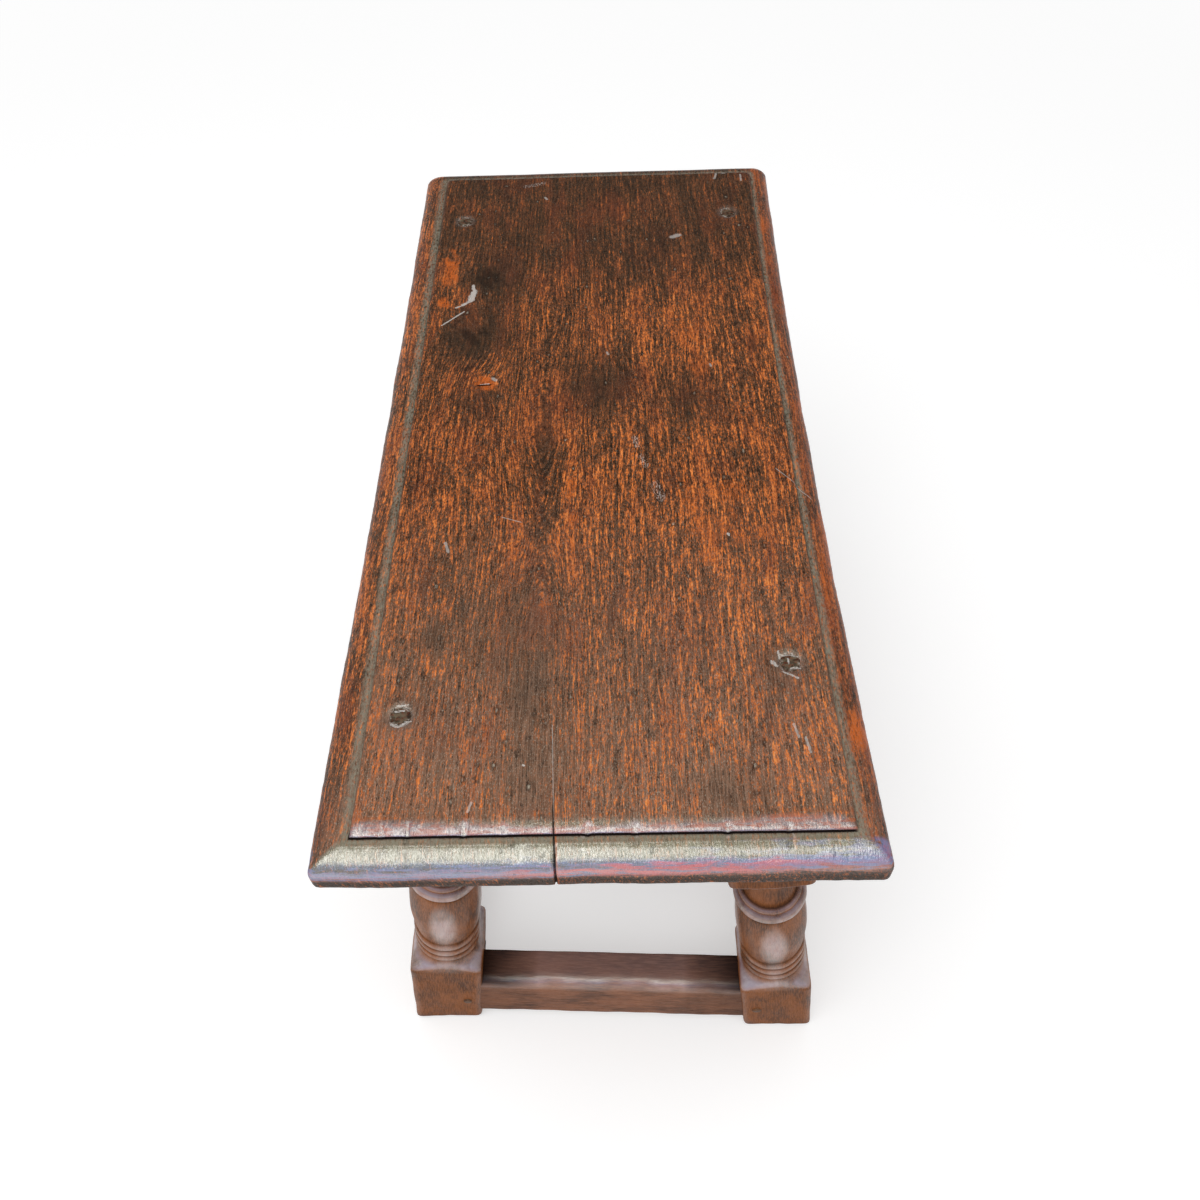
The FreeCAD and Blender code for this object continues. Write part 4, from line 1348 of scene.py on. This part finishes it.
# %% Rails and stretchers
def board_columns(places, along, across, up, width, height, seed, polish_top):
    """Columns for a board: polish near its outer upper arris, dirt near its ends, most of it high up,
    and bare wear on its top between them."""
    near_arris = np.exp(-(((width - across) + (height - up)) / 9) ** 2) * polish_top
    near_end = np.clip(1 - (np.abs(along).max() - np.abs(along)) / 46, 0, 1) ** 0.4 + 0 * up
    near_end = near_end * np.clip((up - height + 9) / 6, 0.3, 1)
    wood = np.stack([across + 90.0 * seed, along + 0 * up, up], -1)
    trodden = np.clip((up - height + 1.2) / 0.6, 0, 1) * (1 - near_end)
    return columns_of(places, wood, near_end, near_arris, trodden)


def end_board(end, low, high, thickness, radii, bead, seed, polish_top):
    """Level board across one end, stretched at each height to reach into both leaning legs, then
    turned a little in plan because the frame is out of square."""
    outer = leg_station + half_stock - setback
    along, across, up = board_rings(2.0, thickness, high - low, radii, bead, seed)
    z = low + up
    reach = foot_axis - z * np.tan(splay) - half_stock * slant + bury
    x = along * reach
    y = end * (outer - thickness + across)
    skew = -np.arctan2(rack_shift, foot_axis - (low + high) / 2 * np.tan(splay))
    dy = y - end * outer
    skewed_x = x * np.cos(skew) - dy * np.sin(skew)
    skewed_y = end * outer + x * np.sin(skew) + dy * np.cos(skew)
    places = np.stack([skewed_x, skewed_y, z], -1)
    return board_columns(places, x, across, up, thickness, high - low, seed, polish_top)


def side_board(side, low, high, thickness, radii, bead, seed, polish_top):
    """Board along one side, leaning with the legs, reaching a little into both."""
    length = 2 * (leg_station - half_stock + bury)
    along, across, up = board_rings(length, thickness, (high - low) * slant, radii, bead, seed)
    from_axis = side * (half_stock - setback - thickness + across)
    s = low * slant + up
    if high >= underside:
        s = np.minimum(s, (underside - side * from_axis * np.sin(splay)) / np.cos(splay))
    places = lean_place(side, 0, from_axis, along, s)
    return board_columns(places, along, across, up, thickness, (high - low) * slant, seed, polish_top)


def lengthened(radii):
    """Corner radii for a board whose length is given from -1 to 1, not in millimetres."""
    return {corner: (lambda along, shape=shape: shape(along * half_width))
            for corner, shape in radii.items()}


rail_finish = frame_oak("rail_oak", pigment(62, 40, 28), pigment(104, 66, 44), pigment(140, 88, 55),
                        pigment(80, 55, 42))
bar_finish = frame_oak("stretcher_oak", pigment(92, 60, 45), pigment(146, 98, 74), pigment(178, 122, 90),
                       pigment(126, 106, 106))
rail_size = (rail_foot, underside, rail_thickness)
bar_size = (bar_foot, bar_top, bar_thickness)
ends, sides = {"front": -1, "back": 1}, {"left": -1, "right": 1}
boards = {
    "end_rail": (end_board, ends, rail_size, lengthened(rail_radii), 60, 0.2),
    "end_stretcher": (end_board, ends, bar_size, lengthened(end_bar_radii), 64, 1.0),
    "side_rail": (side_board, sides, rail_size, rail_radii, 68, 0.2),
    "side_stretcher": (side_board, sides, bar_size, side_bar_radii, 72, 0.6),
}
for kind, (shape, ways, size, radii, first_seed, polish_top) in boards.items():
    is_rail = size is rail_size
    board_finish, slot = (rail_finish, "rail_oak") if is_rail else (bar_finish, "stretcher_oak")
    for seed, (name, way) in enumerate(ways.items(), first_seed):
        rings = shape(way, *size, radii, is_rail, seed, polish_top)
        make_piece(f"worn_{kind}_{name}", *skin(rings), board_finish, slot, f"{kind}_{name}")

# %% [markdown]
# ## Pegs
# Every joint is locked by riven oak pegs: split, not turned, so they are uneven and many-sided, taper
# towards the tip, and stand a little proud because the wood round them has shrunk. Each peg is a few
# rings of eight points with a low rounded head.

# %% Pegs
peg_sides = 8
peg_head_radius, peg_tip_radius, peg_proud, peg_inset = 3.5, 3.0, 0.8, 10.5
stock_width = 2 * half_stock
peg_finish = frame_oak("peg_oak", pigment(78, 54, 38), pigment(122, 84, 58), pigment(150, 110, 80),
                       pigment(84, 62, 50), figure=0.6)


def peg_rings(head, tip, head_radius, tip_radius, seed):
    """Rings from a peg's tip to its domed head: an uneven eight-sided outline along the line between
    two points, whose last rings close in over the head by a quarter circle."""
    draw = np.random.default_rng(seed)
    head, tip = np.array(head, float), np.array(tip, float)
    axis = (head - tip) / np.linalg.norm(head - tip)
    first = np.cross(axis, (0, 0, 1.0) if abs(axis[2]) < 0.9 else (0, 1.0, 0))
    first /= np.linalg.norm(first)
    second = np.cross(axis, first)
    angle = np.linspace(0, turn, peg_sides, endpoint=False) + draw.uniform(-0.12, 0.12, peg_sides)
    uneven = draw.uniform(0.9, 1.0, peg_sides)
    share = np.array([0, 0.5, 0.97, 0.985, 0.993, 1.0, 1.0])
    size = np.array([1, 1, 1, 0.97, 0.9, 0.7, 0.3]) * (tip_radius + (head_radius - tip_radius) * share)
    spokes = (np.cos(angle)[:, None] * first + np.sin(angle)[:, None] * second) * uneven[:, None]
    places = tip + (head - tip) * share[:, None, None] + size[:, None, None] * spokes
    wood = np.stack([np.cos(angle) * size[:, None] + seed * 13.0, share[:, None] * 40 + 0 * angle,
                     np.sin(angle) * size[:, None]], -1)
    return columns_of(places, wood, 0.0, 0.3, 0.0)


def joined_skins(skins):
    """Several closed skins as one list of points and faces."""
    points, faces, start = [], [], 0
    for some_points, some_faces in skins:
        points.append(some_points)
        faces += [[corner + start for corner in face] for face in some_faces]
        start += len(some_points)
    return np.concatenate(points), faces


def inner_face(height):
    """Distance from the stool's middle to a leg's inner face at a height."""
    return foot_axis - height * np.tan(splay) - half_stock * slant


def frame_pegs(name, end_heights, side_heights, seed):
    """Pegs of one leg: some driven along the stool, the others square to the leg's leaning face."""
    side, end = corners[name]
    face = end * (leg_station + half_stock) - side * rack_shift
    skins = []
    for number, height in enumerate(end_heights):
        across = side * (inner_face(height) + peg_inset)
        head = (across, face + end * peg_proud, height)
        tip = (across, face - end * stock_width, height)
        skins.append(skin(peg_rings(head, tip, peg_head_radius, peg_tip_radius, seed + number)))
    for number, height in enumerate(side_heights):
        inset = -end * half_stock + end * peg_inset
        head = lean_place(side, end, side * (half_stock + peg_proud), inset, height * slant)
        tip = lean_place(side, end, -side * half_stock, inset, height * slant)
        skins.append(skin(peg_rings(head, tip, peg_head_radius, peg_tip_radius, seed + 5 + number)))
    return joined_skins(skins)


rail_peg_heights = [underside - 30.0, underside - 50.0]
bar_middle = (bar_foot + bar_top) / 2
lower_heights = [height - 10.0 for height in rail_peg_heights]
for number, name in enumerate(corners):
    rail_pegs = frame_pegs(name, rail_peg_heights, lower_heights, 100 + 10 * number)
    make_piece("riven_rail_pegs_" + name, *rail_pegs, peg_finish, "peg_oak", "rail_pegs_" + name)
    bar_pegs = frame_pegs(name, [bar_middle - 5.0], [bar_middle + 5.0], 200 + 10 * number)
    make_piece("riven_stretcher_pegs_" + name, *bar_pegs, peg_finish, "peg_oak", "stretcher_pegs_" + name)

# %% [markdown]
# ## Pegs in the seat
# The seat's four pegs are larger and seen from above, so their heads have more points, lumps of old wax
# and a finish of their own.

# %% Seat pegs
seat_peg_around = 40


def seat_peg_rings(low, high, seed):
    """Rings of a seat peg: an eight-sided outline as the lesser of two squares' radii, one of them
    turned, whose head is closed by rings that draw in over lumps of old wax."""
    middle = (low + high) / 2
    angle = np.linspace(0, turn, seat_peg_around, endpoint=False)
    half = (high[0] - low[0]) / 2
    facets = [np.abs(np.cos(angle - facet)) for facet in np.arange(4) * turn / 8]
    outline = half / np.max(facets, 0) * (1 + 0.03 * np.sin(3 * angle + seed))
    share = np.concatenate([[0, 0.5, 0.93], np.ones(9)])
    inward = np.concatenate([[0.91, 0.95, 0.98, 0.99], [0.96, 0.9, 0.8, 0.65, 0.5, 0.35, 0.2, 0.08]])
    radius = outline * inward[:, None]
    x, y = middle[0] + radius * np.cos(angle), middle[1] + radius * np.sin(angle)
    head = share >= 1
    lumps = 0.22 * (1 + ripple(3.5, seed, x, y)) + 0.5 * np.clip((inward - 0.85) / 0.15, 0, 1)[:, None]
    z = low[2] + (high[2] - low[2]) * share[:, None] - np.where(head[:, None], lumps, 0)
    places = np.stack([x, y, z], -1)
    wood = np.stack([x, z, y], -1)
    rim = np.clip((inward - 0.7) / 0.2, 0, 1)[:, None] * head[:, None]
    return columns_of(places, wood, 0.0, 0.0, rim)


def seat_peg_oak():
    """Dull end of a seat peg under old wax: olive and brown blotches, orange fibres, torn pale scuffs and
    painted highlights.
    """
    material, start, surface = new_finish("seat_peg_oak")
    wood = start.attribute("stock")
    rim = start.attribute("finish").parts()[2]
    x, _, y = wood.parts()
    blotch = wood.scaled(0.35, 0.3, 0.5).noise(3.0, 0.65)
    fibre = wood.scaled(0.5, 0.5, 1.7).noise(2.0, 0.7)
    colour = blotch.between(0.36, 0.62).over(pigment(52, 42, 33), pigment(106, 94, 76))
    colour = (fibre.between(0.5, 0.62) * 0.55).over(colour, paint["red"])
    torn = (fibre - 0.5) * 5.0
    # Pale scuffs and painted highlights on the peg's head.
    scuffs_and_highlights = marked(start, x, y, peg_highlight_strokes, torn)
    scuffs_and_highlights = scuffs_and_highlights.highest(rim * blotch.between(0.5, 0.62) * 0.6)
    colour = (scuffs_and_highlights * 0.8).over(colour, paint["bare"])
    height = blotch * 3.0 + fibre * 1.5 + scuffs_and_highlights
    dress(start, surface, colour, 0.4 + blotch * 0.2, blotch * 0.2, height, relief=0.4, gloss=0.05)
    return material


seat_peg_finish = seat_peg_oak()
for number, (name, (low, high)) in enumerate(peg_boxes.items()):
    rings = seat_peg_rings(low, high, 300 + number)
    make_piece("riven_seat_peg_" + name, *skin(rings), seat_peg_finish, "peg_oak", "seat_peg_" + name)

# %% [markdown]
# ## Floor
# The stool stands on a plain white floor. Near the stool part of its white is its own, so that it is
# white without more light on the stool, and the rest is lit and shows the soft shadow. Further off all
# of its white is its own, at a strength of one, so that no horizon shows.

# %% Floor
floor_half = 12.0
own_white = 0.44
lit_white = 0.7
fade_metres = (0.8, 2.6)
white = (1.0, 1.0, 1.0, 1.0)


def ray_kinds(start):
    """Readings that are 1 for rays from the camera, for mirrored rays and for rays through glass."""
    path = start.node("LightPath", {}, {})
    return [path.also(f"Is {kind} Ray") for kind in ("Camera", "Glossy", "Transmission")]


def white_floor():
    """Lit white that shows the shadow, with white of its own wherever it is seen directly, in gloss or
    through glass, and nothing but its own white far from the stool, so that no horizon shows."""
    material = bpy.data.materials.new("white_floor")
    start = emptied(material)
    camera_ray, glossy_ray, through_ray = ray_kinds(start)
    direct = camera_ray.highest(glossy_ray.highest(through_ray))
    lit = start.node("BsdfDiffuse", {}, {"Color": (lit_white, lit_white, lit_white, 1.0)})
    own = start.node("Emission", {}, {"Color": white, "Strength": direct * own_white})
    both = start.node("AddShader", {}, {0: lit, 1: own})
    x, y, _ = start.node("TexCoord", {}, {}, "Object").parts()
    away = start.math("SQRT", x * x + y * y)
    plain = start.node("Emission", {}, {"Color": white, "Strength": 1.0})
    faded = start.node("MixShader", {}, {0: away.between(*fade_metres) * direct, 1: both, 2: plain})
    shown(start, "Material", faded)
    return material


floor_mesh = bpy.data.meshes.new("floor")
floor_corners = [(x * floor_half, y * floor_half, 0) for x, y in ((-1, -1), (1, -1), (1, 1), (-1, 1))]
floor_mesh.from_pydata(floor_corners, [], [(0, 1, 2, 3)])
floor_mesh.materials.append(white_floor())
floor = bpy.data.objects.new("floor", floor_mesh)
bpy.context.collection.objects.link(floor)
floor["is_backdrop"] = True
print("floor", 2 * floor_half, "m wide")

# %% [markdown]
# ## Light
# The waxed border mirrors what stood round the stool: something pale and warm overhead, blue lower down
# on the near side, dim and faintly rosy at the horizon, and dark beyond the far end. A plain white world
# would lose those bands. So glossy rays see a ramp over the angle from overhead towards the near side,
# in degrees, the camera sees white, and matt surfaces get a plain pale light. A wide soft lamp overhead
# gives the shadow on the floor.

# %% Sky and lamp
sky = {
    -90: (0.2, 0.19, 0.18), -60: (0.2, 0.19, 0.18), -42: (0.25, 0.24, 0.22), -30: (0.6, 0.58, 0.52),
    -16: (0.82, 0.8, 0.5), -4: (0.9, 0.88, 0.5), 8: (0.88, 0.87, 0.45), 30: (0.84, 0.86, 0.45),
    42: (0.8, 1.05, 1.5), 60: (0.7, 0.98, 1.6), 68: (0.68, 0.76, 0.95), 78: (0.75, 0.66, 0.66),
    86: (0.8, 0.58, 0.5), 90: (0.5, 0.4, 0.4),
}
sky_stops = [(angle / 180 + 0.5, (*colour, 1.0)) for angle, colour in sky.items()]
sky_breadth = 0.5
surroundings = (0.35, 0.33, 0.30, 1.0)
plain_light = 0.55


def open_sky():
    """World light: white to the camera, plain to matt surfaces, a ramp by angle to glossy ones."""
    world = bpy.data.worlds.new("open_sky")
    start = emptied(world)
    x, y, z = start.node("TexCoord", {}, {}, "Generated").parts()
    angle = start.math("ARCTAN2", 0.0 - y, z)
    ramp = start.node("ValToRGB", {"stops": sky_stops}, {"Fac": angle / np.pi + 0.5}, "Color")
    ahead = start.math("EXPONENT", x * x * (-1 / sky_breadth ** 2))
    ramp = ahead.over(surroundings, ramp)
    camera_ray, glossy_ray, through_ray = ray_kinds(start)
    colour = glossy_ray.over((plain_light, plain_light, plain_light, 1.0), ramp)
    colour = camera_ray.highest(through_ray).over(colour, white)
    shown(start, "World", start.node("Background", {}, {"Color": colour, "Strength": 1.0}))
    return world


bpy.context.scene.world = open_sky()


def soft_lamp(name, position, target, size, power):
    """A square lamp of a size in metres and a power in watts, turned to face a point."""
    data = bpy.data.lights.new(name, "AREA")
    data.size = size
    data.energy = power
    lamp = bpy.data.objects.new(name, data)
    facing = (Vector(target) - Vector(position)).to_track_quat("-Z", "Y").to_matrix().to_4x4()
    lamp.matrix_world = Matrix.Translation(position) @ facing
    bpy.context.collection.objects.link(lamp)


soft_lamp("overhead", position=(-0.5, -0.9, 2.6), target=(0, 0, 0.2), size=2.1, power=38.0)
view = bpy.context.scene.view_settings
view.view_transform = "Standard"
print("lamps", len(bpy.data.lights))

# %% [markdown]
# ## Size of what is shown
# The pieces above are meant to stay inside the frame parts they hide. The box round everything shown is
# printed in millimetres.

# %% Size of what is shown
low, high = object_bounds()
print("visual box in mm", [round(v / mm, 1) for v in (*low, *high)])
